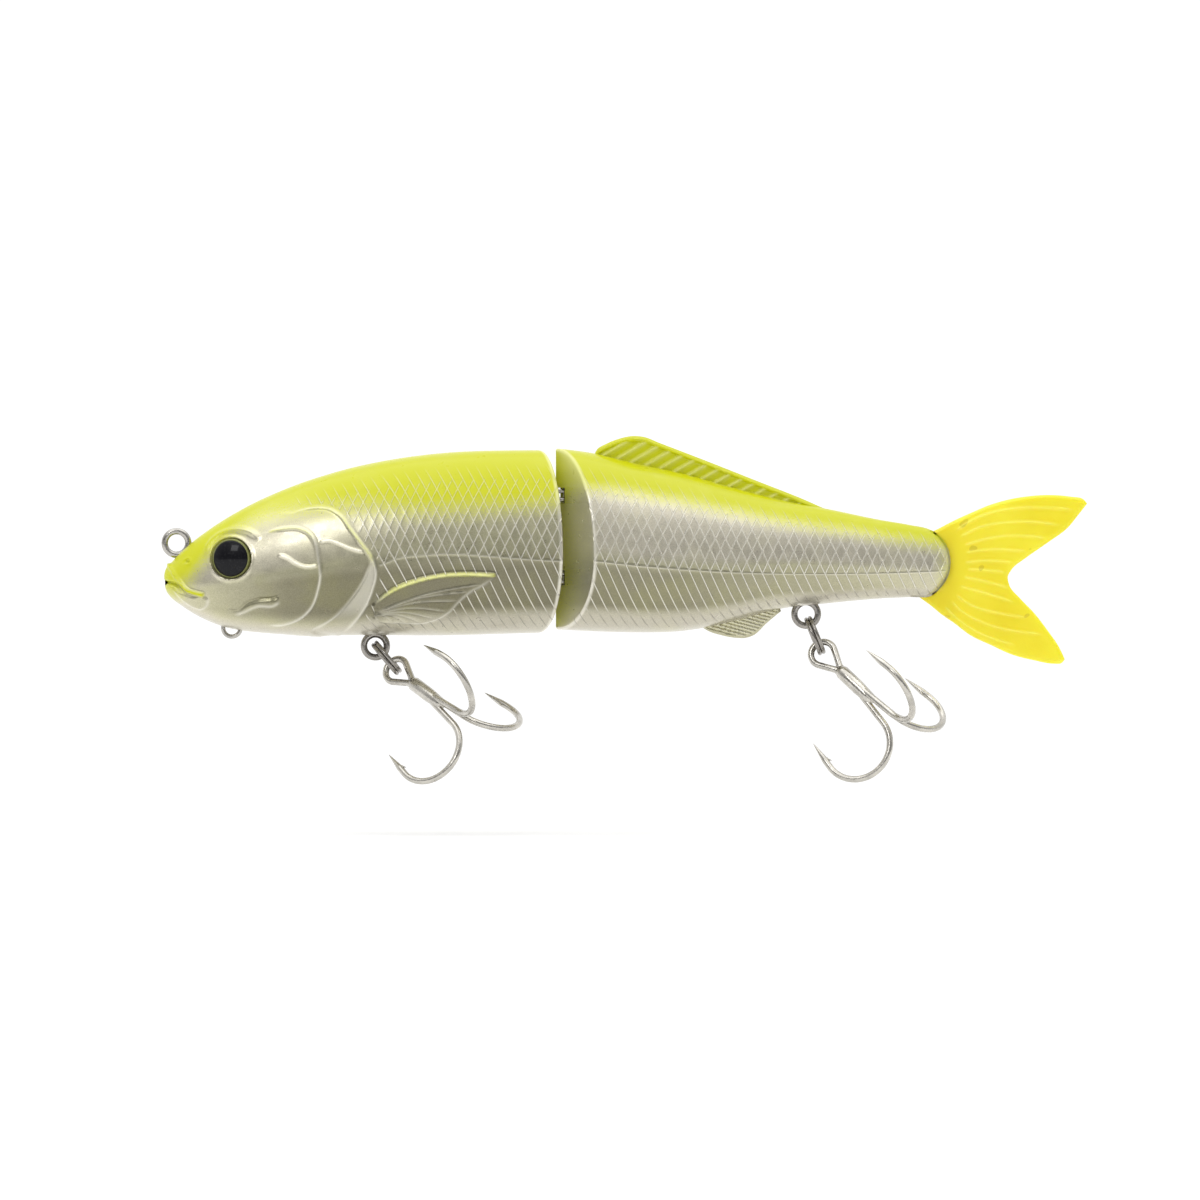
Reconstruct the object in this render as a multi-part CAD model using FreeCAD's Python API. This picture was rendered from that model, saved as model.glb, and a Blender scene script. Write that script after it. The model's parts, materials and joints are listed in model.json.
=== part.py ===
import FreeCAD, Part
import math
import os

# A two-section jointed hard bait with a soft tail and two treble hooks.
# Millimetres. The origin is the centre of the line tie ring at the nose.
# +X runs towards the tail, +Z is up, and -Y is the fish's left side.

V = FreeCAD.Vector
X_AXIS, Y_AXIS, Z_AXIS = V(1, 0, 0), V(0, 1, 0), V(0, 0, 1)

# ---- driving dimensions ----
wall = 1.6                   # moulded shell wall
waist_share = 0.42           # height of the widest line, as a share of the depth
section_points = 24          # round each cross-section
front_hollow = (16.5, 59.0)  # where each hollow starts and ends
rear_hollow = (79.0, 126.0)
big = 60.0                   # reach of the cutting blocks

# joint between the sections
pin_x = 69.3
pin_radius = 0.6
pin_ends = (-12.0, 13.5)
groove_x = 65.2              # bottom of the V groove in the front section
groove_angle = 20.4          # each face, from square across
wedge_x = 67.9               # edge of the V nose on the rear section
wedge_angle = 31.3
slot_half_width = 2.6        # two slots in the wedge, one for each pair of hinge eyes
slot_back_x = 72.0
slot_heights = ((7.0, 10.05), (-7.75, -4.7))
eye_wire = 0.4               # radius of the hinge eye wire
eye_clearance = 0.1          # round the pin
hinge_eye_heights = {"upper_a": 9.3, "upper_b": 7.75, "lower_a": -5.45, "lower_b": -7.0}
hinge_leg_x = 61.2           # inner end of the hinge eye legs

# eyes in the head
eye_centre = V(10.0, 0, -2.8)
eye_radius = 3.5
eye_dome = 0.9
eye_depth = 1.6
eye_face_y = 6.5             # from the centre plane to the socket's floor plus its depth
eye_turn = 17.0              # towards the nose

# wire rings and hangers
line_ring_radius = 2.1
line_wire = 0.6
line_stem_angle = 50.0       # below the horizontal
line_stem_length = 7.5
anchor_ring_radius = 1.7
chin_centre = V(9.9, 0, -15.2)
chin_ring_radius = 1.55
chin_wire = 0.4
chin_leg_top = -11.6
hanger_wire = 0.6
hanger_stem = 7.5
hanger_bar_half_length = 2.4
hanger_block_half_length = 4.0   # solid plastic round each stem
front_block_height = 12.5
front_hanger = V(35.6, 0, -18.4)
rear_hanger = V(112.7, 0, -12.7)
front_hanger_radius = 2.05
rear_hanger_radius = 2.1

# split rings
coil_radius = 3.28
coil_wire = 0.375
coil_pitch = 0.72            # between the two turns
front_ring_angle = 50.0      # below the horizontal, towards the tail
rear_ring_angle = 68.0
front_ring_top = V(35.5, 0, -18.05)   # where the ring threads its hanger
link_gap = 0.22              # between linked wires

# treble hooks, along the shank from the point where the eye closes
hook_wire = 0.6
shank_radius = 1.15
shank_length = 9.3
hook_eye_radius = 2.2
hook_eye_length = 6.2
hook_eye_foot = (0.45, 0.4)  # out from the shank, along the shank
shank_top = 0.2              # the shank closes over the feet of the eye
hook_leg = (0.35, 5.0)       # where each arm leaves the shank
bend_radius = 6.2
bend_start = (1.5, 13.6)     # out from the shank, along the shank
bend_end_angle = 190.0
spear_length = 1.5
point_length = 4.0
point_tip_radius = 0.04
barb_radius, barb_tip_radius = 0.34, 0.05
barb_length = 1.7
barb_root = (0.15, 0.5)      # inwards from the point's middle, along the point
barb_lean = 0.62             # inwards, for each unit back towards the bend
front_hook_angles = (36.0, 38.0, 2.0)    # below horizontal, towards -Y, turn about the shank
rear_hook_angles = (44.0, 24.0, -4.0)
front_hook_slip = 3.4        # from the front ring's wire to where its hook's eye closes
rear_hook_slip = 4.3         # the same at the rear

# tail
tail_half_thickness = 0.9
tail_axis_x = 136.2
slot_clearance = 0.12
tail_swing = 16.0            # each way, in the flared mouth of the slot
tail_slot_start_x = 131.3
tail_slot_top = 2.25
tail_slot_flare_length = 6.0
tail_pin_place = V(133.0, 0, -3.5)
tail_pin_radius = 0.6
tail_pin_half_length = 2.8
tab_gap = 0.2                # from the end of the slot
tab_heights = (1.6, -8.6)    # at the end of the slot
tab_back_bottom = -11.4
tab_belly = (133.2, -10.0)   # where the tab leaves the body

# fins moulded with the rear shells
fin_half_thickness = 0.8

# ballast
front_weight = {"start": 41.0, "length": 16.0, "radius": 4.3, "z": -10.2}
rear_weight = {"start": 84.0, "length": 12.0, "radius": 3.6, "z": -10.0}
cradle_thickness = 2.0
cradle_inset = 1.0           # from each end of the weight

# body outlines: x, top, bottom, half width
FRONT = (
    (-2.2, -5.4, -7.8, 0.9), (-1.2, -3.9, -9.5, 2.4), (1.0, -1.4, -11.3, 3.9), (4.9, 1.75, -13.5, 5.6),
    (9.2, 4.6, -15.1, 7.0), (15.6, 8.0, -16.1, 8.6), (24.2, 11.4, -16.5, 9.9), (35.0, 14.3, -16.5, 10.7),
    (50.0, 16.3, -16.5, 11.0), (60.0, 16.6, -16.2, 11.0), (71.0, 16.6, -15.9, 10.9),
)
REAR = (
    (65.0, 17.2, -15.3, 10.9), (74.5, 16.1, -15.8, 11.0), (82.0, 14.3, -16.0, 10.6), (90.0, 12.6, -15.8, 9.9),
    (98.6, 10.2, -14.3, 8.7), (107.0, 8.0, -12.0, 7.3), (116.6, 6.1, -10.8, 5.8), (125.2, 4.3, -10.0, 4.6),
    (132.0, 3.1, -9.5, 3.6), (140.0, 2.0, -9.2, 2.6),
)
REAR_END = (V(134.9, 0, 2.6), V(138.5, 0, -3.5), V(133.9, 0, -9.7))

DORSAL_FIN = ((74.0, 12.0), (74.6, 16.2), (77.9, 18.2), (81.9, 19.2), (86.5, 17.9), (95.1, 14.5),
              (103.7, 11.4), (112.3, 7.8), (118.4, 5.7), (112.0, 4.0))
ANAL_FIN = ((93.7, -12.0), (93.7, -15.4), (101.3, -17.2), (105.7, -14.3), (108.8, -11.8), (106.0, -9.0))
TAIL_UPPER_EDGE = ((136.2, 2.0), (142.9, 5.8), (150.3, 8.1), (155.4, 8.6), (163.1, 7.0))
TAIL_FORK = ((163.1, 7.0), (159.5, 2.7), (152.0, -2.7), (148.8, -5.8), (151.1, -10.0), (155.9, -15.6),
             (159.0, -20.8))
TAIL_LOWER_EDGE = ((159.0, -20.8), (157.6, -21.6), (153.5, -21.0), (145.8, -18.3), (139.1, -14.3), (136.2, -12.1))


def section(x, top, bottom, half_width):
    """A closed cross-section: two half-ellipses that share the widest line."""
    waist = bottom + waist_share * (top - bottom)
    points = []
    for step in range(section_points):
        angle = 2 * math.pi * step / section_points
        reach = top - waist if math.cos(angle) > 0 else waist - bottom
        points.append(V(x, half_width * math.sin(angle), waist + reach * math.cos(angle)))
    curve = Part.BSplineCurve()
    curve.interpolate(points, PeriodicFlag=True)
    return Part.Wire(curve.toShape())


def lofted(stations):
    return Part.makeLoft([section(*station) for station in stations], True, False)


def hollow(stations, span):
    """The space inside the shells, one wall in from the outside."""
    inner = [(x, top - wall, bottom + wall, width - wall) for x, top, bottom, width in stations]
    inner = [station for station in inner if station[3] > wall]
    return lofted(inner).common(block(*span, -big, big, -big, big))


def block(x0, x1, y0, y1, z0, z1):
    return Part.makeBox(x1 - x0, y1 - y0, z1 - z0, V(x0, y0, z0))


def prism(points, half_thickness):
    """A plate in the centre plane, from its outline of x and z."""
    corners = [V(x, -half_thickness, z) for x, z in points]
    return Part.Face(Part.makePolygon(corners + corners[:1])).extrude(V(0, 2 * half_thickness, 0))


def v_block(edge_x, angle, far_x):
    """Everything on one side of a V that points to the nose, with its edge on the centre plane."""
    run = big * math.tan(math.radians(angle))
    corners = [V(edge_x, 0, -big), V(edge_x + run, big, -big), V(far_x, big, -big),
               V(far_x, -big, -big), V(edge_x + run, -big, -big)]
    return Part.Face(Part.makePolygon(corners + corners[:1])).extrude(V(0, 0, 2 * big))


def swept(path_edges, radius):
    """A round wire along joined edges."""
    path = Part.Wire(path_edges)
    first = path_edges[0]
    start = first.valueAt(first.FirstParameter)
    along = first.tangentAt(first.FirstParameter)
    ring = Part.Wire(Part.Circle(start, along, radius).toShape())
    return path.makePipeShell([ring], True, True)


def arc(start, middle, end):
    return Part.Arc(start, middle, end).toShape()


def line(start, end):
    return Part.LineSegment(start, end).toShape()


def rod(start, end, radius):
    return Part.makeCylinder(radius, start.distanceToPoint(end), start, end - start)


def below_horizontal(angle):
    """A unit direction in the centre plane, towards the tail and down."""
    return V(math.cos(math.radians(angle)), 0, -math.sin(math.radians(angle)))


def half(shape, side):
    if side == "left":
        return shape.common(block(-big, 4 * big, -big, 0, -big, big))
    return shape.common(block(-big, 4 * big, 0, big, -big, big))


# ---- wire pieces ----

def line_tie():
    """The nose ring, its stem in the head and the small ring that anchors it."""
    along = below_horizontal(line_stem_angle)
    ring = Part.makeTorus(line_ring_radius, line_wire, V(0, 0, 0), Y_AXIS)
    stem_end = along * (line_ring_radius + line_stem_length)
    stem = rod(along * line_ring_radius, stem_end, line_wire)
    anchor = Part.makeTorus(anchor_ring_radius, line_wire, stem_end + along * anchor_ring_radius, Y_AXIS)
    return ring.fuse([stem, anchor]).removeSplitter()


def chin_loop():
    left = chin_centre - X_AXIS * chin_ring_radius
    right = chin_centre + X_AXIS * chin_ring_radius
    bottom = chin_centre - Z_AXIS * chin_ring_radius
    left_top = V(left.x, 0, chin_leg_top)
    right_top = V(right.x, 0, chin_leg_top)
    return swept([line(left_top, left), arc(left, bottom, right), line(right, right_top)], chin_wire)


def hanger(centre, radius):
    """A belly ring with its stem and cross bar inside the shells."""
    ring = Part.makeTorus(radius, hanger_wire, centre, Y_AXIS)
    foot = centre + Z_AXIS * radius
    head = foot + Z_AXIS * hanger_stem
    bar_end = X_AXIS * hanger_bar_half_length
    bar = rod(head - bar_end, head + bar_end, hanger_wire)
    return ring.fuse([rod(foot, head, hanger_wire), bar]).removeSplitter()


def hinge_eye(z):
    """A wire bent round the pin, its two legs set in the front section."""
    bend = pin_radius + eye_clearance + eye_wire
    left_end, left = V(hinge_leg_x, -bend, z), V(pin_x, -bend, z)
    right_end, right = V(hinge_leg_x, bend, z), V(pin_x, bend, z)
    nose = V(pin_x + bend, 0, z)
    return swept([line(left_end, left), arc(left, nose, right), line(right, right_end)], eye_wire)


def split_ring(top, angle):
    """Two turns of wire pressed together. top is where the ring threads its hanger."""
    shift = coil_pitch / 2
    crease = math.sqrt(coil_wire ** 2 - shift ** 2)
    inner, outer = V(0, 0, coil_radius - crease), V(0, 0, coil_radius + crease)
    reach = X_AXIS * (shift + coil_wire)
    middle = V(0, 0, coil_radius)
    turns = [arc(inner, middle + reach, outer), arc(outer, middle - reach, inner)]
    ring = Part.Face(Part.Wire(turns)).revolve(V(0, 0, 0), X_AXIS, 360)
    ring.rotate(V(0, 0, 0), Y_AXIS, angle - 90)
    ring.translate(top + below_horizontal(angle) * coil_radius)
    return ring


# ---- treble hooks, made hanging straight down with the first arm towards -X ----

def hook_point(out, down):
    return V(-out, 0, -down)


def hook_arm():
    """One arm: leg, round bend, spear, tapered point and barb."""
    leg_out, leg_down = hook_leg
    bend_out, bend_down = bend_start
    lean = math.atan2(bend_out - leg_out, bend_down - leg_down)
    centre_out = bend_out + bend_radius * math.cos(lean)
    centre_down = bend_down - bend_radius * math.sin(lean)

    def on_bend(angle):
        return hook_point(centre_out - bend_radius * math.cos(angle), centre_down + bend_radius * math.sin(angle))

    end_angle = math.radians(bend_end_angle)
    start, end = on_bend(lean), on_bend(end_angle)
    upward = hook_point(math.sin(end_angle), math.cos(end_angle))
    spear_end = end + upward * spear_length
    wire = swept([line(hook_point(leg_out, leg_down), start), arc(start, on_bend((lean + end_angle) / 2), end),
                  line(end, spear_end)], hook_wire)
    point = Part.makeCone(hook_wire, point_tip_radius, point_length, spear_end, upward)
    inward = X_AXIS
    root = spear_end + inward * barb_root[0] + upward * barb_root[1]
    barb = Part.makeCone(barb_radius, barb_tip_radius, barb_length, root, inward * barb_lean - upward)
    return wire.fuse([point, barb])


def hook_eye():
    """The rounded loop at the head of the shank, in the plane of the first arm."""
    foot_out, foot_down = hook_eye_foot
    centre_down = hook_eye_radius - hook_eye_length
    reach = math.hypot(foot_out, centre_down)
    turn = math.acos(hook_eye_radius / reach) + math.atan2(foot_out, -centre_down)
    side_out = hook_eye_radius * math.sin(turn)
    side_down = centre_down + hook_eye_radius * math.cos(turn)
    left_foot, right_foot = hook_point(foot_out, foot_down), hook_point(-foot_out, foot_down)
    left, right = hook_point(side_out, side_down), hook_point(-side_out, side_down)
    top = hook_point(0, -hook_eye_length)
    return swept([line(left_foot, left), arc(left, top, right), line(right, right_foot)], hook_wire)


def treble(eye_close, angles):
    """eye_close is where the eye's wires meet the shank."""
    below, towards_left, turn = angles
    shank = rod(V(0, 0, shank_top), hook_point(0, shank_length), shank_radius)
    arms = []
    for index in range(3):
        arm = hook_arm()
        arm.rotate(V(0, 0, 0), Z_AXIS, turn + index * 120)
        arms.append(arm)
    hook = shank.fuse([hook_eye()] + arms).removeSplitter()
    hook.rotate(V(0, 0, 0), X_AXIS, -towards_left)
    hook.rotate(V(0, 0, 0), Y_AXIS, below - 90)
    hook.translate(eye_close)
    return hook


def hook_direction(angles):
    below, towards_left = math.radians(angles[0]), math.radians(angles[1])
    flat = math.cos(towards_left)
    return V(math.cos(below) * flat, -math.sin(towards_left), -math.sin(below) * flat)


# ---- places of the links ----

link_reach = hanger_wire + coil_wire + link_gap
rear_ring_top = rear_hanger + below_horizontal(rear_ring_angle) * (rear_hanger_radius - link_reach)
front_ring_bottom = front_ring_top + below_horizontal(front_ring_angle) * 2 * coil_radius
rear_ring_bottom = rear_ring_top + below_horizontal(rear_ring_angle) * 2 * coil_radius
front_hook_place = front_ring_bottom + hook_direction(front_hook_angles) * front_hook_slip
rear_hook_place = rear_ring_bottom + hook_direction(rear_hook_angles) * rear_hook_slip


# ---- eyes, tail and weights ----

def eye(side):
    """A domed disc in its socket, turned a little towards the nose."""
    disc = Part.makeCylinder(eye_radius, eye_depth, V(0, 0, 0), -Y_AXIS)
    dome_radius = (eye_radius ** 2 + eye_dome ** 2) / (2 * eye_dome)
    ball = Part.makeSphere(dome_radius, V(0, dome_radius - eye_depth - eye_dome, 0))
    blank = Part.makeCylinder(eye_radius, eye_depth + eye_dome, V(0, 0, 0), -Y_AXIS)
    shape = disc.fuse(blank.common(ball)).removeSplitter()
    shape.rotate(V(0, 0, 0), Z_AXIS, -eye_turn)
    shape.translate(V(eye_centre.x, eye_depth - eye_face_y, eye_centre.z))
    return shape if side == "left" else shape.mirror(V(0, 0, 0), Y_AXIS)


def socket():
    """The pocket for the left eye, open to the outside."""
    pocket = Part.makeCylinder(eye_radius, big / 4, V(0, 0, 0), -Y_AXIS)
    pocket.rotate(V(0, 0, 0), Z_AXIS, -eye_turn)
    pocket.translate(V(eye_centre.x, eye_depth - eye_face_y, eye_centre.z))
    return pocket


def smooth_edge(points):
    curve = Part.BSplineCurve()
    curve.interpolate([V(x, -tail_half_thickness, z) for x, z in points])
    return curve.toShape()


def tail_fin():
    """The soft forked blade, round along the line where it bends."""
    root_top, root_bottom = TAIL_UPPER_EDGE[0], TAIL_LOWER_EDGE[-1]
    root = line(V(root_bottom[0], -tail_half_thickness, root_bottom[1]),
                V(root_top[0], -tail_half_thickness, root_top[1]))
    outline = Part.Wire([smooth_edge(TAIL_UPPER_EDGE), smooth_edge(TAIL_FORK), smooth_edge(TAIL_LOWER_EDGE), root])
    blade = Part.Face(outline).extrude(V(0, 2 * tail_half_thickness, 0))
    roll = rod(V(tail_axis_x, 0, root_bottom[1]), V(tail_axis_x, 0, root_top[1]), tail_half_thickness)
    return blade.fuse(roll).removeSplitter()


def tail_pin():
    return rod(tail_pin_place - Y_AXIS * tail_pin_half_length, tail_pin_place + Y_AXIS * tail_pin_half_length,
               tail_pin_radius)


def tail_tab():
    """The part of the tail moulding that the slot holds."""
    front, back = tail_slot_start_x + tab_gap, tail_axis_x - tail_half_thickness - slot_clearance
    top, front_bottom = tab_heights
    outline = ((front, top), (back, top), (back, tab_back_bottom), tab_belly, (front, front_bottom))
    return prism(outline, tail_half_thickness).cut(tail_pin())


def tail_slot():
    """A parallel slot that flares from the bend line, so that the blade can swing."""
    gap = tail_half_thickness + slot_clearance
    far_x = tail_axis_x + tail_slot_flare_length
    flare = gap + tail_slot_flare_length * math.tan(math.radians(tail_swing))
    corners = [V(tail_slot_start_x, -gap, -big), V(tail_axis_x, -gap, -big), V(far_x, -flare, -big),
               V(far_x, flare, -big), V(tail_axis_x, gap, -big), V(tail_slot_start_x, gap, -big)]
    slot = Part.Face(Part.makePolygon(corners + corners[:1])).extrude(V(0, 0, 2 * big))
    return slot.common(block(tail_slot_start_x, far_x, -big, big, -big, tail_slot_top))


def weight(size):
    return Part.makeCylinder(size["radius"], size["length"], V(size["start"], 0, size["z"]), X_AXIS)


def cradle(size):
    """Two ribs that hold a weight, left solid in the shells."""
    ribs = []
    first = size["start"] + cradle_inset
    last = size["start"] + size["length"] - cradle_inset - cradle_thickness
    for start in (first, last):
        ribs.append(block(start, start + cradle_thickness, -big, big, -big, size["z"]))
    return ribs


def hinge_pin():
    return rod(V(pin_x, 0, pin_ends[0]), V(pin_x, 0, pin_ends[1]), pin_radius)


# ---- shells ----

def shell_pair(outside, inside, solid_blocks, fittings):
    """Left and right halves: outside, less the hollow, less the seats of the fittings."""
    space = inside
    for keep in solid_blocks:
        space = space.cut(keep)
    body = outside.cut([space] + fittings)
    left = half(body, "left")
    return left, left.mirror(V(0, 0, 0), Y_AXIS)


def front_shells(fittings, front_ballast):
    outside = lofted(FRONT).cut(v_block(groove_x, groove_angle, 2 * big))
    left_socket = socket()
    outside = outside.cut([left_socket, left_socket.mirror(V(0, 0, 0), Y_AXIS)])
    inside = hollow(FRONT, front_hollow)
    block_ends = (front_hanger.x - hanger_block_half_length, front_hanger.x + hanger_block_half_length)
    stem_block = block(*block_ends, -big, big, -big, front_hanger.z + front_block_height)
    return shell_pair(outside, inside, [stem_block] + cradle(front_weight), fittings + [front_ballast])


def rear_outside():
    top, middle, bottom = REAR_END
    reach = [V(top.x, 0, big), V(0, 0, big), V(0, 0, -big), V(bottom.x, 0, -big)]
    edges = [arc(bottom, middle, top), line(top, reach[0]), line(reach[0], reach[1]), line(reach[1], reach[2]),
             line(reach[2], reach[3]), line(reach[3], bottom)]
    keep = Part.Face(Part.Wire(edges)).extrude(V(0, 2 * big, 0))
    keep.translate(V(0, -big, 0))
    body = lofted(REAR).common(keep).common(v_block(wedge_x, wedge_angle, 3 * big))
    fins = [prism(DORSAL_FIN, fin_half_thickness), prism(ANAL_FIN, fin_half_thickness)]
    return body.fuse(fins)


def rear_shells(fittings, rear_ballast):
    slots = [block(0, slot_back_x, -slot_half_width, slot_half_width, *heights) for heights in slot_heights]
    outside = rear_outside().cut(slots + [tail_slot()])
    inside = hollow(REAR, rear_hollow)
    block_ends = (rear_hanger.x - hanger_block_half_length, rear_hanger.x + hanger_block_half_length)
    stem_block = block(*block_ends, -big, big, -big, big)
    return shell_pair(outside, inside, [stem_block] + cradle(rear_weight), fittings + [rear_ballast])


def build():
    nodes = {}
    nodes["line_tie"] = line_tie()
    nodes["chin_loop"] = chin_loop()
    nodes["front_hanger"] = hanger(front_hanger, front_hanger_radius)
    for name, z in hinge_eye_heights.items():
        nodes["hinge_eye_" + name] = hinge_eye(z)
    front_fittings = list(nodes.values())
    nodes["front_ballast"] = weight(front_weight)
    nodes["front_shell_left"], nodes["front_shell_right"] = front_shells(front_fittings, nodes["front_ballast"])
    nodes["eye_left"] = eye("left")
    nodes["eye_right"] = eye("right")

    nodes["hinge_pin"] = hinge_pin()
    nodes["rear_hanger"] = hanger(rear_hanger, rear_hanger_radius)
    nodes["tail_pin"] = tail_pin()
    rear_fittings = [nodes["hinge_pin"], nodes["rear_hanger"], nodes["tail_pin"]]
    nodes["rear_ballast"] = weight(rear_weight)
    nodes["rear_shell_left"], nodes["rear_shell_right"] = rear_shells(rear_fittings, nodes["rear_ballast"])
    nodes["tail_tab"] = tail_tab()
    nodes["tail_fin"] = tail_fin()

    nodes["front_split_ring"] = split_ring(front_ring_top, front_ring_angle)
    nodes["rear_split_ring"] = split_ring(rear_ring_top, rear_ring_angle)
    nodes["front_treble"] = treble(front_hook_place, front_hook_angles)
    nodes["rear_treble"] = treble(rear_hook_place, rear_hook_angles)
    return nodes


os.makedirs("parts", exist_ok=True)
for node, shape in build().items():
    if len(shape.Solids) != 1 or not shape.isValid():
        print("check", node, len(shape.Solids), shape.isValid())
    box = shape.BoundBox
    print(node, "volume", round(shape.Volume, 1), "size", round(box.XLength, 1), round(box.YLength, 1),
          round(box.ZLength, 1))
    shape.exportStep("parts/" + node + ".step")
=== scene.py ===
import json
import math

import bmesh
import bpy
import numpy as np
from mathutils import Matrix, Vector


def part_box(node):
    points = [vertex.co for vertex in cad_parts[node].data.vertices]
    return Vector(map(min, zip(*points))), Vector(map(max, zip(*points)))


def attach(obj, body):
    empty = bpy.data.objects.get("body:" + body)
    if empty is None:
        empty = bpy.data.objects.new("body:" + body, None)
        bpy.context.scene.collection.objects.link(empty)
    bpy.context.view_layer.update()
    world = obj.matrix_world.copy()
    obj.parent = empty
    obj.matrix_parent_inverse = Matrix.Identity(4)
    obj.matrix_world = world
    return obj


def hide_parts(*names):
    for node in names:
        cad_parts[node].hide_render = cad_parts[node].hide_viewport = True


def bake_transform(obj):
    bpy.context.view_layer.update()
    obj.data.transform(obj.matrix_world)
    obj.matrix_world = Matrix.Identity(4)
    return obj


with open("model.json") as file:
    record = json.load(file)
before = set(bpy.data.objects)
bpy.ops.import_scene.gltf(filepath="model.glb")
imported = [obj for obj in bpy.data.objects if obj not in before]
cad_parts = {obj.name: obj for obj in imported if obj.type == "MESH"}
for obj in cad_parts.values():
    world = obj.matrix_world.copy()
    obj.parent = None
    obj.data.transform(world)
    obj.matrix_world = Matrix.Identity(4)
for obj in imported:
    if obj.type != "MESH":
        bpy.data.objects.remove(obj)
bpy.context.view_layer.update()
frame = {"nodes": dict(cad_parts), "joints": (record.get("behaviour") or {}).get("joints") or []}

# Sizes below are in millimetres in the CAD frame, and become metres in Mesh.make.
MM = 0.001

# ---- body outlines: x, top, bottom, half width ----
FRONT = (
    (-2.2, -5.9, -6.1, 0.3), (-1.9, -4.6, -8.4, 1.3), (-1.2, -3.8, -9.5, 2.4), (1.0, -1.4, -11.3, 3.9),
    (4.9, 1.75, -13.6, 5.6), (9.2, 4.6, -15.2, 7.0), (15.6, 8.0, -16.1, 8.6), (24.2, 11.4, -16.5, 9.9),
    (35.0, 14.3, -16.5, 10.7), (50.0, 16.3, -16.5, 11.0), (60.0, 16.6, -16.2, 11.0),
    (71.0, 16.6, -15.9, 10.9),
)
REAR = (
    (65.0, 17.2, -15.3, 10.9), (74.5, 16.1, -15.8, 11.0), (82.0, 14.3, -16.0, 10.6), (90.0, 12.6, -15.8, 9.9),
    (98.6, 10.2, -14.3, 8.7), (107.0, 8.0, -12.0, 7.3), (116.6, 6.1, -10.8, 5.8), (125.2, 4.3, -10.0, 4.6),
    (131.0, 3.3, -9.7, 3.7), (134.9, 2.4, -9.5, 3.1), (137.2, 0.5, -7.4, 2.4), (138.2, -1.5, -5.5, 1.5),
    (138.48, -3.4, -3.7, 0.3),
)
WAIST_SHARE = 0.42
WALL = 1.6
NOSE_X, TAIL_END_X = -2.2, 138.5
END_CAP = 4.2                # length of the rounded end of each section
GROOVE_X, GROOVE_ANGLE = 65.2, 20.4
WEDGE_X, WEDGE_ANGLE = 67.9, 31.3
RIM_ROUND = 0.45
SLOT_HALF_WIDTH, SLOT_BACK_X = 2.6, 72.0
SLOTS = ((7.0, 10.05), (-7.75, -4.7))
TAIL_SLOT_X, TAIL_SLOT_TOP, TAIL_GAP = 131.3, 2.25, 1.02
TAIL_AXIS_X, TAIL_SWING = 136.2, 16.0
FRONT_HOLLOW, REAR_HOLLOW = (16.5, 59.0), (79.0, 126.0)
RIM_ROWS = 6                 # grid rows round the edge of a joint face
FACE_PASSES = 5              # rounds of moving the last rows onto the slanted face
HOLLOW_SIDES = 19

# ---- scales and paint along the body ----
SCALE_PITCH = 1.87           # along the body
SCALE_HEIGHT = 4.0           # up the flank
SCALE_LINE = 0.08            # share of the pitch
LATERAL_HEIGHT = 0.07
LATERAL_FRONT = ((30.0, -4.6), (36.1, -4.2), (40.3, -2.7), (44.9, -2.2), (49.5, -2.0), (55.7, -2.4),
                 (61.8, -2.9), (72.0, -3.5))
LATERAL_REAR = ((66.0, -3.0), (74.9, -3.4), (82.9, -4.2), (91.7, -4.9), (100.7, -5.4), (109.6, -5.6),
                (126.3, -5.5), (139.0, -5.0))
# the height where the yellow of the back ends, along the body
FRONT_YELLOW = ((-3.0, -9.5), (1.5, -8.2), (5.0, -4.0), (8.0, -0.6), (12.0, 2.4), (16.0, 4.4), (24.0, 5.6),
                (34.0, 6.0), (49.0, 5.6), (60.0, 6.4), (75.0, 7.4))
REAR_YELLOW = ((60.0, 8.8), (74.0, 9.2), (80.0, 8.7), (93.0, 6.5), (111.0, 3.1), (125.0, 1.0),
               (140.0, -1.4))
# brightness of the silver along the upper and the lower flank, as painted light and shade: lighter where the
# head and rear face up to the light, darker across the mid flank in place of its dark reflection
FRONT_PAINTED_LIGHT_TONES = (((-3, 0.95), (12, 0.86), (20, 0.78), (30, 0.66), (40, 0.52), (72, 0.47)),
               ((-3, 0.75), (8, 0.38), (20, 0.06), (30, 0.0), (72, 0.0)))
REAR_PAINTED_LIGHT_TONES = (((66, 0.75), (78, 0.98), (140, 0.95)), ((66, 0.03), (90, 0.1), (115, 0.3), (140, 0.7)))
SLOT_PAINT = {"yellow": 0.2, "tone": 0.3}


# ================= small maths =================

def smooth_step(low, high, value):
    t = np.clip((value - low) / (high - low), 0.0, 1.0)
    return t * t * (3 - 2 * t)


def bell(gap, width):
    return np.exp(-(gap / width) ** 2)


def through(xs, ys, at):
    """A smooth curve through points, with the slope at each taken from its neighbours."""
    xs, ys, at = np.asarray(xs, float), np.asarray(ys, float), np.asarray(at, float)
    steps = np.diff(xs)
    rises = np.diff(ys) / steps
    slopes = np.empty_like(ys)
    slopes[1:-1] = (rises[:-1] * steps[1:] + rises[1:] * steps[:-1]) / (steps[1:] + steps[:-1])
    slopes[[0, -1]] = 1.5 * rises[[0, -1]] - 0.5 * slopes[[1, -2]]
    i = np.clip(np.searchsorted(xs, at) - 1, 0, len(steps) - 1)
    t = (at - xs[i]) / steps[i]
    return ((2 * t**3 - 3 * t**2 + 1) * ys[i] + (t**3 - 2 * t**2 + t) * steps[i] * slopes[i]
            + (3 * t**2 - 2 * t**3) * ys[i + 1] + (t**3 - t**2) * steps[i] * slopes[i + 1])


def full_turn(count):
    return np.linspace(0, 2 * math.pi, count, endpoint=False)


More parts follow.
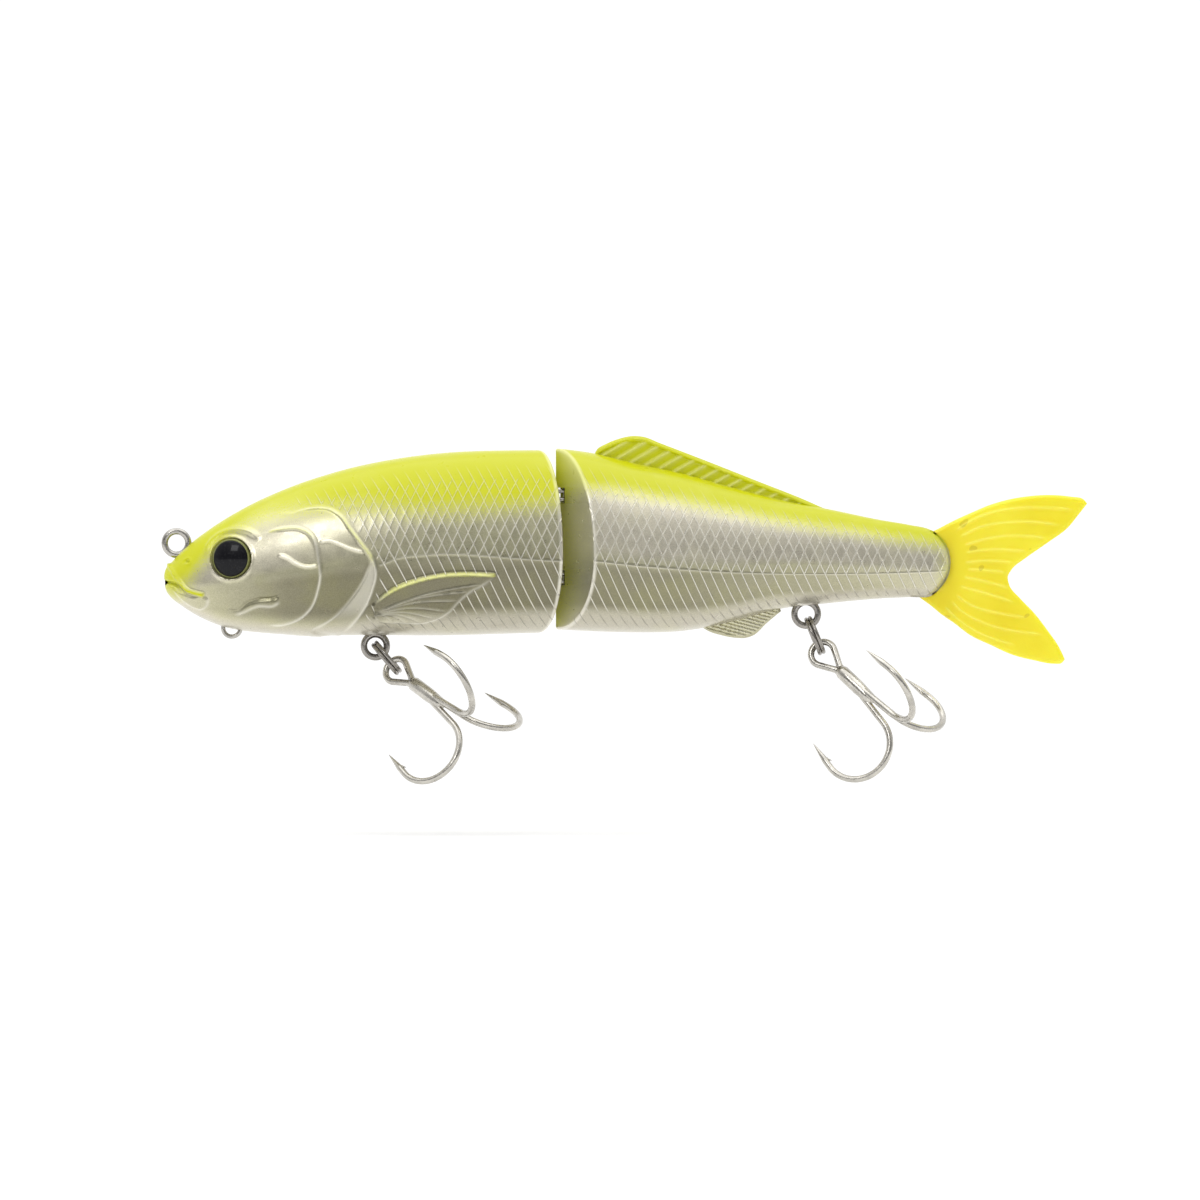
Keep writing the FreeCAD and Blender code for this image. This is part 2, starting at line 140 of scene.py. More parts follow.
def path_through(points, count=60):
    """A smooth path of count points through the given ones, evenly spaced by length."""
    points = np.asarray(points, float)
    along = np.concatenate([[0], np.cumsum(np.linalg.norm(np.diff(points, axis=0), axis=1))])
    at = np.linspace(0, along[-1], count)
    return np.stack([through(along, points[:, k], at) for k in range(points.shape[1])], axis=1)


def distance_to(path, x, z):
    """Distance from each (x, z) to a path in the side view, and how far along the path (0 to 1) it is."""
    best = np.full(x.shape, 1e9)
    share = np.zeros(x.shape)
    count = len(path) - 1
    for k in range(count):
        a, b = path[k], path[k + 1]
        d = b - a
        t = np.clip(((x - a[0]) * d[0] + (z - a[1]) * d[1]) / max(d @ d, 1e-9), 0, 1)
        gap = np.hypot(x - a[0] - t * d[0], z - a[1] - t * d[1])
        nearer = gap < best
        best = np.where(nearer, gap, best)
        share = np.where(nearer, (k + t) / count, share)
    return best, share


def inside(path, x, z):
    """True where (x, z) is inside a closed path."""
    within = np.zeros(x.shape, bool)
    for a, b in zip(path, np.roll(path, -1, axis=0)):
        crosses = (a[1] > z) != (b[1] > z)
        rise = b[1] - a[1] if abs(b[1] - a[1]) > 1e-9 else 1e-9
        within ^= crosses & (x < (b[0] - a[0]) * (z - a[1]) / rise + a[0])
    return within


def ridge(points, x, z, height, width, fade_in=0.06, fade_out=0.06):
    """A rounded raised line along a path, or a groove where height is negative."""
    gap, share = distance_to(path_through(points), x, z)
    return height * bell(gap, width) * smooth_step(0, fade_in, share) * smooth_step(0, fade_out, 1 - share)


def ridges(table, x, z):
    return sum(ridge(path, x, z, *shape) for path, *shape in table)


def highest(table, x, z):
    return np.max([ridge(path, x, z, *shape) for path, *shape in table], axis=0)


def plate(points, x, z, height, soft):
    """A raised area inside a closed path, with a soft edge."""
    path = path_through(tuple(points) + (points[0],), 90)
    gap, _ = distance_to(path, x, z)
    signed = np.where(inside(path, x, z), gap, -gap)
    return height * smooth_step(-soft, soft, signed)


# ================= head and fin relief, in the side view =================

EYE = (10.0, -2.8)
EYE_RADIUS, SOCKET_DEPTH = 3.5, 1.6
NOSTRIL = (2.1, -3.3)
LIP = ((-1.6, -3.6), (-0.9, -4.6), (0.4, -6.6), (2.1, -8.4), (3.8, -9.0), (5.4, -9.3))
MOUTH = ((-2.6, -7.1), (-1.0, -7.2), (0.3, -7.8), (1.3, -8.7), (2.4, -9.4))
JAW_EDGE = ((5.4, -9.3), (5.9, -10.2), (5.6, -11.2), (4.6, -11.8), (2.9, -11.3), (0.95, -9.9),
            (-0.4, -8.5))
JAW_PLATE = ((-0.4, -8.3), (1.3, -8.9), (3.0, -9.6), (5.0, -9.6)) + JAW_EDGE[1:-1]
BROW = ((5.2, -2.9), (5.8, -0.8), (7.2, 0.9), (10.7, 2.3), (13.5, 1.8), (15.4, 0.4))
CHEEK_CREASE = ((8.6, -11.9), (11.2, -12.1), (12.9, -10.8), (14.9, -10.1), (18.1, -9.7), (19.2, -9.2))
CHEEK_LOBE = ((10.4, -13.0), (12.4, -12.2), (15.0, -11.2), (17.6, -11.1), (19.0, -10.3))
PREOPERCLE = ((16.4, 1.8), (19.5, 2.4), (22.4, 2.4), (24.3, 1.4), (25.3, -0.3), (25.8, -3.1), (26.1, -5.7),
              (25.6, -8.6), (24.6, -11.1), (22.6, -13.1), (19.8, -14.3), (16.4, -14.7))
WAVE_FRONT = ((18.4, -2.2), (20.1, -2.7), (21.8, -3.7), (23.5, -4.3), (25.6, -4.1))
WAVE_BACK = ((25.7, -0.1), (27.5, 0.3), (29.5, -0.3), (31.5, -1.1), (33.8, -1.7))
OPERCULUM = ((21.0, 5.3), (24.9, 6.1), (27.5, 6.0), (29.5, 4.9), (31.5, 2.3), (33.5, -0.3), (35.2, -2.6),
             (35.9, -5.4), (35.3, -8.3), (33.8, -11.7), (31.5, -14.6), (29.5, -16.4))
GILL_EDGE = ((35.2, -3.1), (34.0, -6.3), (31.8, -9.7), (28.9, -12.8), (24.5, -15.7))
CRESCENT = GILL_EDGE + tuple(reversed(OPERCULUM[6:]))
FIN_TOP = ((35.4, -10.9), (38.7, -8.5), (43.4, -6.7), (48.0, -5.8), (52.6, -5.6), (57.5, -5.8))
FIN_EDGE = ((57.5, -5.8), (54.8, -7.6), (52.6, -8.8), (50.7, -10.4), (48.9, -12.2), (47.1, -13.3),
            (44.9, -14.0), (40.3, -14.1), (36.4, -13.8))
FIN_OUTLINE = FIN_TOP + FIN_EDGE[1:]
FIN_FOLD = ((34.2, -11.2), (35.4, -11.0), (36.7, -11.6))
FIN_ROOT, FIN_BOSS = (34.6, -12.6), (35.2, -12.7)
FIN_RAYS, FIN_RAY_BOW = 8, (0.0, 0.9)
SCALED = ((19.5, 8.6), (22.0, 6.9), (27.5, 6.9), (30.0, 5.6), (32.2, 2.9), (34.2, 0.1), (36.1, -2.3),
          (36.9, -5.4), (36.3, -8.5), (34.9, -11.9), (32.8, -15.0), (32.0, -19.0), (80.0, -19.0),
          (80.0, 20.0), (19.5, 20.0))
# each row of these tables: path, height, width, share of the path over which it fades in and out
HEAD_RIDGES = (
    (LIP, 0.42, 0.36, 0.02, 0.05), (MOUTH, -0.8, 0.34, 0.01, 0.6), (BROW, 0.42, 0.5, 0.2, 0.15),
    (CHEEK_CREASE, -0.3, 0.3, 0.15, 0.1), (CHEEK_LOBE, 0.38, 0.85, 0.2, 0.12),
    (PREOPERCLE, 0.3, 0.3, 0.12, 0.12),
    (WAVE_FRONT, 0.26, 0.2, 0.12, 0.05), (WAVE_BACK, 0.26, 0.2, 0.12, 0.05),
    (GILL_EDGE, 0.16, 0.25, 0.1, 0.15),
    (OPERCULUM, 0.27, 0.28, 0.1, 0.1),
)
FIN_RIDGES = ((FIN_TOP, 0.38, 0.34, 0.1, 0.05), (FIN_EDGE, 0.14, 0.25), (FIN_FOLD, 0.2, 0.2))
# painted highlights along the raised edges of the head and fin
HIGHLIGHT_EDGES = (
    ((OPERCULUM, 0.9, 0.22, 0.1, 0.1),)
    + tuple((line, 0.85, 0.2, 0.12, 0.06) for line in (PREOPERCLE, WAVE_FRONT, WAVE_BACK, FIN_TOP))
    + tuple((line, 0.55, 0.26, 0.15, 0.1) for line in (FIN_EDGE, CHEEK_LOBE, GILL_EDGE, JAW_EDGE))
)
YELLOW_EDGES = ((LIP, 1.0, 0.34, 0.02, 0.05), (FIN_TOP, 0.85, 0.26, 0.2, 0.03),
                (OPERCULUM[:8], 0.7, 0.25, 0.1, 0.2), (PREOPERCLE[:5], 0.5, 0.25, 0.1, 0.3))


def fin_rays():
    """Bowed paths from the root of the pectoral fin to its outer edge."""
    ends = path_through(FIN_EDGE, FIN_RAYS + 2)[1:-1]
    return [(FIN_ROOT, (end + FIN_ROOT) / 2 + FIN_RAY_BOW, end) for end in ends]


def pectoral_relief(x, z):
    """The fin laid on the flank, with its edges, rays and root."""
    height = plate(FIN_OUTLINE, x, z, 0.38, 0.28) + ridges(FIN_RIDGES, x, z)
    within = smooth_step(0.0, 0.5, plate(FIN_OUTLINE, x, z, 1.0, 0.3))
    height += within * ridges([(ray, 0.2, 0.22, 0.25, 0.12) for ray in fin_rays()], x, z)
    return height + 0.5 * bell(np.hypot(x - FIN_BOSS[0], z - FIN_BOSS[1]), 0.75)


def head_relief(x, z):
    """Lips, jaw, brow, cheek, gill cover, eye socket and nostril."""
    height = ridges(HEAD_RIDGES, x, z) + plate(JAW_PLATE, x, z, 0.36, 0.3)
    cheek = PREOPERCLE + ((10.0, -13.0), (11.0, 0.0))
    height += plate(cheek, x, z, 0.16, 0.35) * smooth_step(14.0, 20.0, x)
    gill_cover = OPERCULUM + ((10.0, -16.0), (10.0, 4.0))
    height += plate(gill_cover, x, z, 0.3, 0.25) * smooth_step(17.0, 27.0, x)
    height += plate(CRESCENT, x, z, -0.36, 0.3)
    eye_gap = np.hypot(x - EYE[0], z - EYE[1])
    height += 0.12 * bell(eye_gap - EYE_RADIUS - 0.4, 0.3)
    height -= SOCKET_DEPTH * smooth_step(EYE_RADIUS + 0.25, EYE_RADIUS - 0.05, eye_gap)
    nostril = np.hypot(x - NOSTRIL[0], z - NOSTRIL[1])
    return height + 0.14 * bell(nostril - 0.55, 0.2) - 0.3 * bell(nostril, 0.4)


def crest_highlight_lines(x, z):
    """Painted highlight where the high edges on the head and fin catch the light: 0 to 1."""
    # painted highlight on the lower part of the gill crescent
    crescent = plate(CRESCENT, x, z, 0.5, 0.3) * smooth_step(-15.0, -11.0, z)
    within = smooth_step(0.2, 0.8, plate(FIN_OUTLINE, x, z, 1.0, 0.3))
    rays = within * highest([(ray, 0.35, 0.14, 0.25, 0.12) for ray in fin_rays()], x, z)
    return np.clip(np.max([highest(HIGHLIGHT_EDGES, x, z), crescent, rays], axis=0), 0, 1)


# ================= body surfaces =================

def profile(stations, end_x, x):
    """Top, bottom and half width at each x. The root of the distance makes the section's end round."""
    table = np.array(stations)
    order = np.sqrt(np.abs(table[:, 0] - end_x))
    sort = np.argsort(order)
    at = np.sqrt(np.abs(x - end_x))
    return tuple(through(order[sort], table[sort, k], at) for k in (1, 2, 3))


def surface(stations, end_x, x, angle, inset=0.0):
    """Left flank points (y is negative) at each x and angle from the back (0) to the belly (pi)."""
    top, bottom, width = profile(stations, end_x, x)
    top, bottom, width = top - inset, bottom + inset, np.maximum(width - inset, 0.05)
    waist = bottom + WAIST_SHARE * (top - bottom)
    reach = np.where(np.cos(angle) > 0, top - waist, waist - bottom)
    return np.stack([x, -width * np.sin(angle), waist + reach * np.cos(angle)], axis=-1)


def even_angles(depth_up, depth_down, width, count):
    """Angles that space count + 1 points evenly by length round a half section."""
    fine = np.linspace(0, math.pi, 2000)
    reach = np.where(np.cos(fine) > 0, depth_up, depth_down)
    y, z = width * np.sin(fine), reach * np.cos(fine)
    along = np.concatenate([[0], np.cumsum(np.hypot(np.diff(y), np.diff(z)))])
    return np.interp(np.linspace(0, along[-1], count + 1), along, fine)


def normals_of(grid):
    across = np.gradient(grid, axis=0)
    down = np.gradient(grid, axis=1)
    normal = np.cross(down, across)
    normal /= np.maximum(np.linalg.norm(normal, axis=-1, keepdims=True), 1e-9)
    return normal * (-1.0 if normal[..., 1].mean() > 0 else 1.0)


def section_rows(end_x, cap, cap_rows, stop_x, body_rows):
    """Row places that crowd towards the rounded end and are even along the body."""
    crowded = end_x + cap * np.linspace(0.03, 1, cap_rows)[:-1] ** 2
    return np.concatenate([crowded, np.linspace(end_x + cap, stop_x, body_rows)])


class Flank:
    """The left flank of a section as a grid, and what its relief and paint need at each point."""

    def __init__(self, stations, end_x, lateral, edge_x, edge_angle, rows, angles, straight_to, cross_top):
        self.stations, self.end_x, self.edge_x = stations, end_x, edge_x
        self.slope = math.tan(math.radians(edge_angle))
        base_x, self.angle = np.meshgrid(np.append(rows, [edge_x] * RIM_ROWS), angles, indexing="ij")
        stretch = smooth_step(straight_to, edge_x, base_x)
        outward = math.copysign(1, edge_x - end_x)
        inward = outward * RIM_ROUND * (1 - np.sin(np.linspace(0, math.pi / 2, RIM_ROWS)))
        x = base_x
        for _ in range(FACE_PASSES):
            face_x = edge_x - self.slope * surface(stations, end_x, x, self.angle)[..., 1]
            x = base_x + stretch * (face_x - edge_x)
            x[-RIM_ROWS:] = face_x[-RIM_ROWS:] - inward[:, None]
        self.grid = surface(stations, end_x, x, self.angle)
        self.to_face = outward * (face_x - x)
        self.measure(lateral, cross_top)

    def measure(self, lateral, cross_top):
        """Lattice coordinates and masks. The scale lines cross below the share cross_top of the depth."""
        x, z = self.grid[..., 0], self.grid[..., 2]
        top, bottom, _ = profile(self.stations, self.end_x, x)
        line = np.interp(x, *path_through(lateral, 80).T)
        steps = np.linalg.norm(np.diff(self.grid[..., 1:], axis=1, prepend=self.grid[:, :1, 1:]), axis=-1)
        down = np.cumsum(steps, axis=1)
        at_line = np.array([np.interp(0, gap, along) for gap, along in zip(line - z, down)])
        up = at_line[:, None] - down
        self.lattice_up = x / SCALE_PITCH + up / SCALE_HEIGHT
        self.lattice_down = x / SCALE_PITCH - up / SCALE_HEIGHT
        depth = (top - z) / (top - bottom)
        self.fade = smooth_step(0.07, 0.16, depth) * smooth_step(0.99, 0.94, depth)
        self.above = smooth_step(-0.1, 0.1, up) * smooth_step(cross_top, cross_top + 0.09, depth)
        lower = np.interp(x, (28.0, 40.0), (0.07, 0.0))
        self.belly = smooth_step(0.84 + lower, 0.93 + lower, depth)
        # painted shade: darkens the silver across the mid and lower flank, in place of the dark reflection
        # there
        self.painted_shade = smooth_step(0.50, 0.66, depth) * smooth_step(0.99, 0.84, depth)
        self.line_gap = np.abs(up)

    def scale_relief(self, scaled):
        """Raised scale lines on the flank, and fine grooves on the belly."""
        up, down = (bell(s - np.round(s), SCALE_LINE) for s in (self.lattice_up, self.lattice_down))
        return scaled * np.maximum(up, down * self.above) * (0.035 - 0.065 * self.belly)

    def raise_by(self, relief):
        """Moves the grid out by the relief, rounds its rim, and keeps it on its side of the centre plane."""
        corner = RIM_ROUND - np.clip(self.to_face, 0, RIM_ROUND)
        relief = relief - RIM_ROUND + np.sqrt(RIM_ROUND**2 - corner**2)
        self.grid = self.grid + normals_of(self.grid) * relief[..., None]
        self.grid[..., 1] = np.minimum(self.grid[..., 1], 0.0)
        self.grid[:, (0, -1), 1] = 0.0

    def crest(self, line_mask):
        """Painted highlight at the rim and along the lateral line."""
        rim = 0.85 * smooth_step(0.8, 0.45, self.to_face)
        return np.maximum(rim, 0.5 * bell(self.line_gap, 0.12) * line_mask)

    def tone(self, x, painted_light_tones):
        """Brightness of the silver as painted light and shade: an upper value that fades to the lower one
        below the widest line.
        """
        high, low = (np.interp(x, *np.array(values, float).T) for values in painted_light_tones)
        return high + (low - high) * self.painted_shade


def yellow_share(x, z, stops, half_width):
    """How much of the paint is the yellow of the back: 1 above a line along the body, 0 below."""
    return smooth_step(-half_width, half_width, z - through(*np.array(stops).T, x))


# ================= making Blender pieces =================

class Mesh:
    """Collects vertices, faces and per-vertex values, in millimetres."""

    def __init__(self):
        self.points, self.faces, self.values, self.count = [], [], {}, 0

    def add(self, points, faces, **values):
        """Adds vertices, and faces that count from the first of them. Returns that one's number."""
        points = np.asarray(points, float).reshape(-1, 3)
        start = self.count
        self.points.append(points)
        self.faces += [tuple(int(i) + start for i in face) for face in faces]
        for name in dict.fromkeys((*self.values, *values)):
            column = np.broadcast_to(np.asarray(values.get(name, 0.0), float).reshape(-1), (len(points),))
            self.values.setdefault(name, [np.zeros(start)]).append(column)
        self.count += len(points)
        return start

    def face(self, *corners):
        self.faces.append(corners)

    def mirrored(self):
        twin = Mesh()
        twin.points = [points * (1, -1, 1) for points in self.points]
        twin.faces = [face[::-1] for face in self.faces]
        twin.values, twin.count = self.values, self.count
        return twin

    def make(self, name, material, smooth_angle, weld=0.0):
        """The finished Blender object. Vertices nearer than weld are joined."""
        mesh = bpy.data.meshes.new(name)
        mesh.from_pydata((np.concatenate(self.points) * MM).tolist(), [], self.faces)
        for value_name, columns in self.values.items():
            attribute = mesh.attributes.new(value_name, "FLOAT", "POINT")
            attribute.data.foreach_set("value", np.concatenate(columns).astype(np.float32))
        mesh.materials.append(material)
        if weld:
            work = bmesh.new()
            work.from_mesh(mesh)
            bmesh.ops.remove_doubles(work, verts=work.verts, dist=weld * MM)
            bmesh.ops.recalc_face_normals(work, faces=work.faces)
            work.to_mesh(mesh)
            work.free()
        mesh.validate()
        mesh.shade_smooth()
        mesh.set_sharp_from_angle(angle=math.radians(smooth_angle))
        piece = bpy.data.objects.new(name, mesh)
        bpy.context.scene.collection.objects.link(piece)
        return piece


def grid_faces(rows, columns, wrap=False, flip=False):
    faces = []
    for i in range(rows - 1):
        for j in range(columns if wrap else columns - 1):
            a, b = i * columns + j, i * columns + (j + 1) % columns
            face = (a, b, b + columns, a + columns)
            faces.append(face[::-1] if flip else face)
    return faces


def tube(mesh, path, radius, sides, closed=False):
    """A round wire along a path. radius is one number or one for each point."""
    path = np.asarray(path, float)
    radii = np.broadcast_to(np.asarray(radius, float), (len(path),))
    if closed:
        tangents = np.roll(path, -1, axis=0) - np.roll(path, 1, axis=0)
    else:
        tangents = np.gradient(path, axis=0)
    tangents /= np.linalg.norm(tangents, axis=1, keepdims=True)
    guide = np.array((0.0, 1.0, 0.0)) if abs(tangents[0][1]) < 0.8 else np.array((1.0, 0.0, 0.0))
    turn = full_turn(sides)[:, None]
    rings = []
    for point, tangent, r in zip(path, tangents, radii):
        guide = guide - tangent * (guide @ tangent)
        guide /= np.linalg.norm(guide)
        rings.append(point + r * (np.cos(turn) * guide + np.sin(turn) * np.cross(tangent, guide)))
    if closed:
        rings.append(rings[0])
    start = mesh.add(rings, grid_faces(len(rings), sides, wrap=True))
    if not closed:
        last = start + (len(rings) - 1) * sides
        mesh.face(*reversed(range(start, start + sides)))
        mesh.face(*range(last, last + sides))


# ================= materials =================

# the panel yellow is painted shade for the sunk fin panels
BACK_YELLOW, PANEL_SHADE_YELLOW = (0.60, 0.62, 0.003), (0.50, 0.53, 0.002)
# the dark silver is painted shade and the light silver is painted light
SILVER_PAINTED_SHADE, SILVER_MIDDLE, SILVER_PAINTED_LIGHT = (0.215, 0.20, 0.13), (0.56, 0.535, 0.37), (0.80, 0.75, 0.62)
# the groove colour is painted shade in the fine belly grooves
PEARL, GROOVE_SHADE = (0.62, 0.585, 0.48), (0.30, 0.28, 0.22)
# lighter colours for painted highlights on raised lines and edges, on silver and on yellow
HIGHLIGHT_SILVER, HIGHLIGHT_YELLOW = (0.90, 0.87, 0.76), (0.88, 0.88, 0.42)
FLAKE_DARK, WHITE = (0.80, 0.80, 0.78), (1.0, 1.0, 1.0)
TAIL_YELLOW, TAIL_CLOUD, TAIL_ROOT = (0.84, 0.73, 0.014), (0.90, 0.81, 0.035), (0.76, 0.65, 0.005)
TAIL_RAY, TAIL_FLECK = (0.95, 0.90, 0.16), (0.55, 0.45, 0.01)
EYE_BLACK, EYE_SPECK, EYE_RIM = (0.004, 0.004, 0.006), (0.012, 0.012, 0.014), (0.26, 0.27, 0.10)


class Nodes:
    """A node tree, with short calls for the nodes that the materials are made of."""

    def __init__(self, tree):
        self.tree = tree

    def new(self, kind, inputs, **settings):
        made = self.tree.nodes.new(kind)
        for key, value in settings.items():
            setattr(made, key, value)
        self.feed(made, inputs)
        return made

    def feed(self, made, inputs):
        """Sets a number or colour on its socket, and links another node's output to it."""
        for name, item in inputs.items():
            slot = made.inputs[name]
            if isinstance(item, (int, float)):
                slot.default_value = item
            elif isinstance(item, tuple):
                slot.default_value = item + (1.0,) * (len(slot.default_value) - len(item))
            else:
                self.tree.links.new(item, slot)

    def value(self, name):
        """A per-vertex value of the mesh."""
        return self.new("ShaderNodeAttribute", {}, attribute_name=name).outputs["Fac"]

    def maths(self, operation, first, second):
        return self.new("ShaderNodeMath", {0: first, 1: second}, operation=operation).outputs[0]

    def times(self, first, second):
        return self.maths("MULTIPLY", first, second)

    def less_from(self, whole, part):
        return self.maths("SUBTRACT", whole, part)

    def mixed(self, factor, first, second, blend="MIX"):
        inputs = {"Factor": factor, "A": first, "B": second}
        return self.new("ShaderNodeMix", inputs, data_type="RGBA", blend_type=blend).outputs["Result"]

    def noise(self, scale, detail=3.0):
        place = self.new("ShaderNodeTexCoord", {}).outputs["Object"]
        texture = self.new("ShaderNodeTexNoise", {"Vector": place, "Scale": scale, "Detail": detail})
        return texture.outputs["Fac"]

    def ramp(self, value, low, high, out_low=0.0, out_high=1.0):
        inputs = {"Value": value, "From Min": low, "From Max": high, "To Min": out_low, "To Max": out_high}
        return self.new("ShaderNodeMapRange", inputs).outputs["Result"]

    def bump(self, shader, height, distance):
        made = self.new("ShaderNodeBump", {"Height": height, "Distance": distance, "Strength": 1.0})
        self.feed(shader, {"Normal": made.outputs["Normal"]})


def new_material(name):
    material = bpy.data.materials.new(name)
    material.use_nodes = True
    return material, Nodes(material.node_tree), material.node_tree.nodes["Principled BSDF"]


def body_paint():
    """Yellow back over metallic silver flanks and a pearl belly, under a clear coat."""
    material, n, shader = new_material("body_paint")
    yellow, belly, tone = n.value("yellow"), n.value("belly"), n.value("tone")
    flake = n.noise(5200.0, 1.0)
    # the edge of the yellow wanders a little and breaks up into mist
    edge = n.maths("ADD", yellow, n.ramp(n.noise(160.0), 0.3, 0.7, -0.05, 0.05))
    mist = n.times(n.ramp(flake, 0.35, 0.65, -0.84, 0.84), n.times(yellow, n.less_from(1.0, yellow)))
    share = n.maths("MINIMUM", n.maths("MAXIMUM", n.maths("ADD", edge, mist), 0.0), 1.0)
    # painted light and shade: the silver runs from dark to light by the per-vertex tone value
    silver = n.mixed(n.ramp(tone, 0.0, 0.5), SILVER_PAINTED_SHADE, SILVER_MIDDLE)
    silver = n.mixed(n.ramp(tone, 0.5, 1.0), silver, SILVER_PAINTED_LIGHT)
    silver = n.mixed(belly, silver, PEARL)
    silver = n.mixed(1.0, silver, n.mixed(n.ramp(flake, 0.3, 0.7), FLAKE_DARK, WHITE), "MULTIPLY")
    colour = n.mixed(share, silver, BACK_YELLOW)
    # painted shade in the sunk panels between the fin rays
    colour = n.mixed(n.times(n.value("panel"), 0.25), colour, PANEL_SHADE_YELLOW)
    lines_up = n.maths("PINGPONG", n.value("lattice_up"), 0.5)
    lines_down = n.maths("PINGPONG", n.value("lattice_down"), 0.5)
    lines_down = n.maths("ADD", lines_down, n.less_from(1.0, n.value("above")))
    line = n.ramp(n.maths("MINIMUM", lines_up, lines_down), 0.035, 0.085, 1.0, 0.0)
    line = n.times(line, n.value("scales"))
    raised, sunk = n.times(line, n.less_from(1.0, belly)), n.times(line, belly)
    # painted highlight on the raised scale lines, the rims, the head ridges and the fin rays
    painted_highlight = n.times(raised, n.less_from(0.8, n.times(share, 0.3)))
    painted_highlight = n.maths("MAXIMUM", painted_highlight, n.times(n.value("crest"), 0.75))
    colour = n.mixed(painted_highlight, colour, n.mixed(share, HIGHLIGHT_SILVER, HIGHLIGHT_YELLOW))
    # painted shade in the sunk belly grooves
    colour = n.mixed(n.times(sunk, 0.6), colour, GROOVE_SHADE)
    metal = n.times(n.less_from(1.0, share), n.less_from(0.88, n.times(belly, 0.25)))
    rough = n.ramp(n.noise(700.0), 0.3, 0.7, 0.27, 0.37)
    n.feed(shader, {"Base Color": colour, "Metallic": metal, "Roughness": rough, "Specular IOR Level": 0.2,
                    "Coat Weight": 0.3, "Coat Roughness": 0.05, "Coat IOR": 1.5})
    height = n.less_from(raised, n.times(sunk, 0.7))
    n.bump(shader, n.maths("ADD", height, n.times(n.noise(1900.0, 1.0), 0.03)), 0.00009)
    return material


def steel(name, colour, roughness, grain=0.00002):
    """Plated wire: bright, with a fine drawn grain and a little unevenness."""
    material, n, shader = new_material(name)
    dark = tuple(0.72 * part for part in colour)
    patchy = n.mixed(n.ramp(n.noise(420.0, 4.0), 0.35, 0.68), dark, colour)
    rough = n.ramp(n.noise(1800.0), 0.3, 0.7, roughness - 0.06, roughness + 0.08)
    n.feed(shader, {"Base Color": patchy, "Metallic": 1.0, "Roughness": rough})
    n.bump(shader, n.noise(3600.0, 2.0), grain)
    return material


def soft_tail_material():
    """Translucent soft yellow plastic with faint clouds and a few darker flecks."""
    material, n, shader = new_material("soft_tail")
    colour = n.mixed(n.ramp(n.noise(90.0, 2.0), 0.3, 0.7), TAIL_YELLOW, TAIL_CLOUD)
    colour = n.mixed(n.times(n.value("root"), 0.6), colour, TAIL_ROOT)
    colour = n.mixed(n.times(n.value("ray"), 0.5), colour, TAIL_RAY)
    colour = n.mixed(n.times(n.ramp(n.noise(420.0, 0.0), 0.785, 0.80), 0.45), colour, TAIL_FLECK)
    n.feed(shader, {"Base Color": colour, "Roughness": 0.38, "Subsurface Weight": 0.55,
                    "Subsurface Radius": (1.0, 0.75, 0.1), "Subsurface Scale": 0.0022})
    n.bump(shader, n.noise(1500.0, 2.0), 0.00003)
    return material


def eye_material():
    """A black dome with a clear rim."""
    material, n, shader = new_material("eye_dome")
    black = n.mixed(n.ramp(n.noise(2400.0, 1.0), 0.55, 0.75), EYE_BLACK, EYE_SPECK)
    n.feed(shader, {"Base Color": n.mixed(n.value("rim"), black, EYE_RIM), "Roughness": 0.3,
                    "Specular IOR Level": 0.1, "Coat Weight": 0.25, "Coat Roughness": 0.02})
    return material


# ================= the two sections =================

def slot_walls(mesh, middle_start, rim_z, first, last, edge_x):
    """The side, back and ends of a hinge slot. Returns the vertices along its edge on the centre plane."""
    count = last - first + 1
    side_x, side_y = np.full(count, SLOT_BACK_X), np.full(count, -SLOT_HALF_WIDTH)
    side = np.stack([side_x, side_y, rim_z[first:last + 1]], axis=1)
    side_start = mesh.add(side, [], **SLOT_PAINT)
    back_start = mesh.add(side * (1, 0, 1), [], **SLOT_PAINT)
    ends = mesh.add([(edge_x, 0.0, rim_z[first]), (edge_x, 0.0, rim_z[last])], [], **SLOT_PAINT)
    for k in range(count - 1):
        a = middle_start + first + k
        mesh.face(a, a + 1, side_start + k + 1, side_start + k)
        mesh.face(side_start + k, side_start + k + 1, back_start + k + 1, back_start + k)
    mesh.face(ends, middle_start + first, side_start, back_start)
    mesh.face(middle_start + last, side_start + count - 1, back_start + count - 1, ends + 1)
    mesh.face(middle_start + first - 1, middle_start + first, ends)
    mesh.face(middle_start + last, middle_start + last + 1, ends + 1)
    return [ends] + [back_start + k for k in range(count)] + [ends + 1]


def close_half(flank, paint, hollow_span, slots=()):
    """Joins a flank, whose joint rim is its last row, to a V face, a seam face and a hollow."""
    rows, columns = flank.angle.shape
    mesh = Mesh()
    mesh.add(flank.grid, grid_faces(rows, columns), **paint, belly=flank.belly, above=flank.above,
             lattice_up=flank.lattice_up, lattice_down=flank.lattice_down)
    rim_start, rim_z = (rows - 1) * columns, flank.grid[-1, :, 2]
    in_slots = [np.nonzero((rim_z > low) & (rim_z < high))[0] for low, high in slots]
    spans = [(int(found[0]), int(found[-1])) for found in in_slots]
    inner_y = np.zeros(columns)
    for first, last in spans:
        inner_y[first:last + 1] = -SLOT_HALF_WIDTH
    middle = np.stack([flank.edge_x - flank.slope * inner_y, inner_y, rim_z], axis=1)
    # the paint on a joint face is thinner than on the flank beside it
    middle_start = mesh.add(middle, [], yellow=0.52 + 0.40 * paint["yellow"][-1], tone=0.6)
    for j in range(columns - 1):
        mesh.face(rim_start + j, rim_start + j + 1, middle_start + j + 1, middle_start + j)
    seam_edge = []
    next_column = 0
    for first, last in spans:
        seam_edge += range(middle_start + next_column, middle_start + first)
        seam_edge += slot_walls(mesh, middle_start, rim_z, first, last, flank.edge_x)
        next_column = last + 1
    seam_edge += range(middle_start + next_column, middle_start + columns)
    close_seam(mesh, flank, seam_edge, hollow_span, bool(slots))
    return mesh


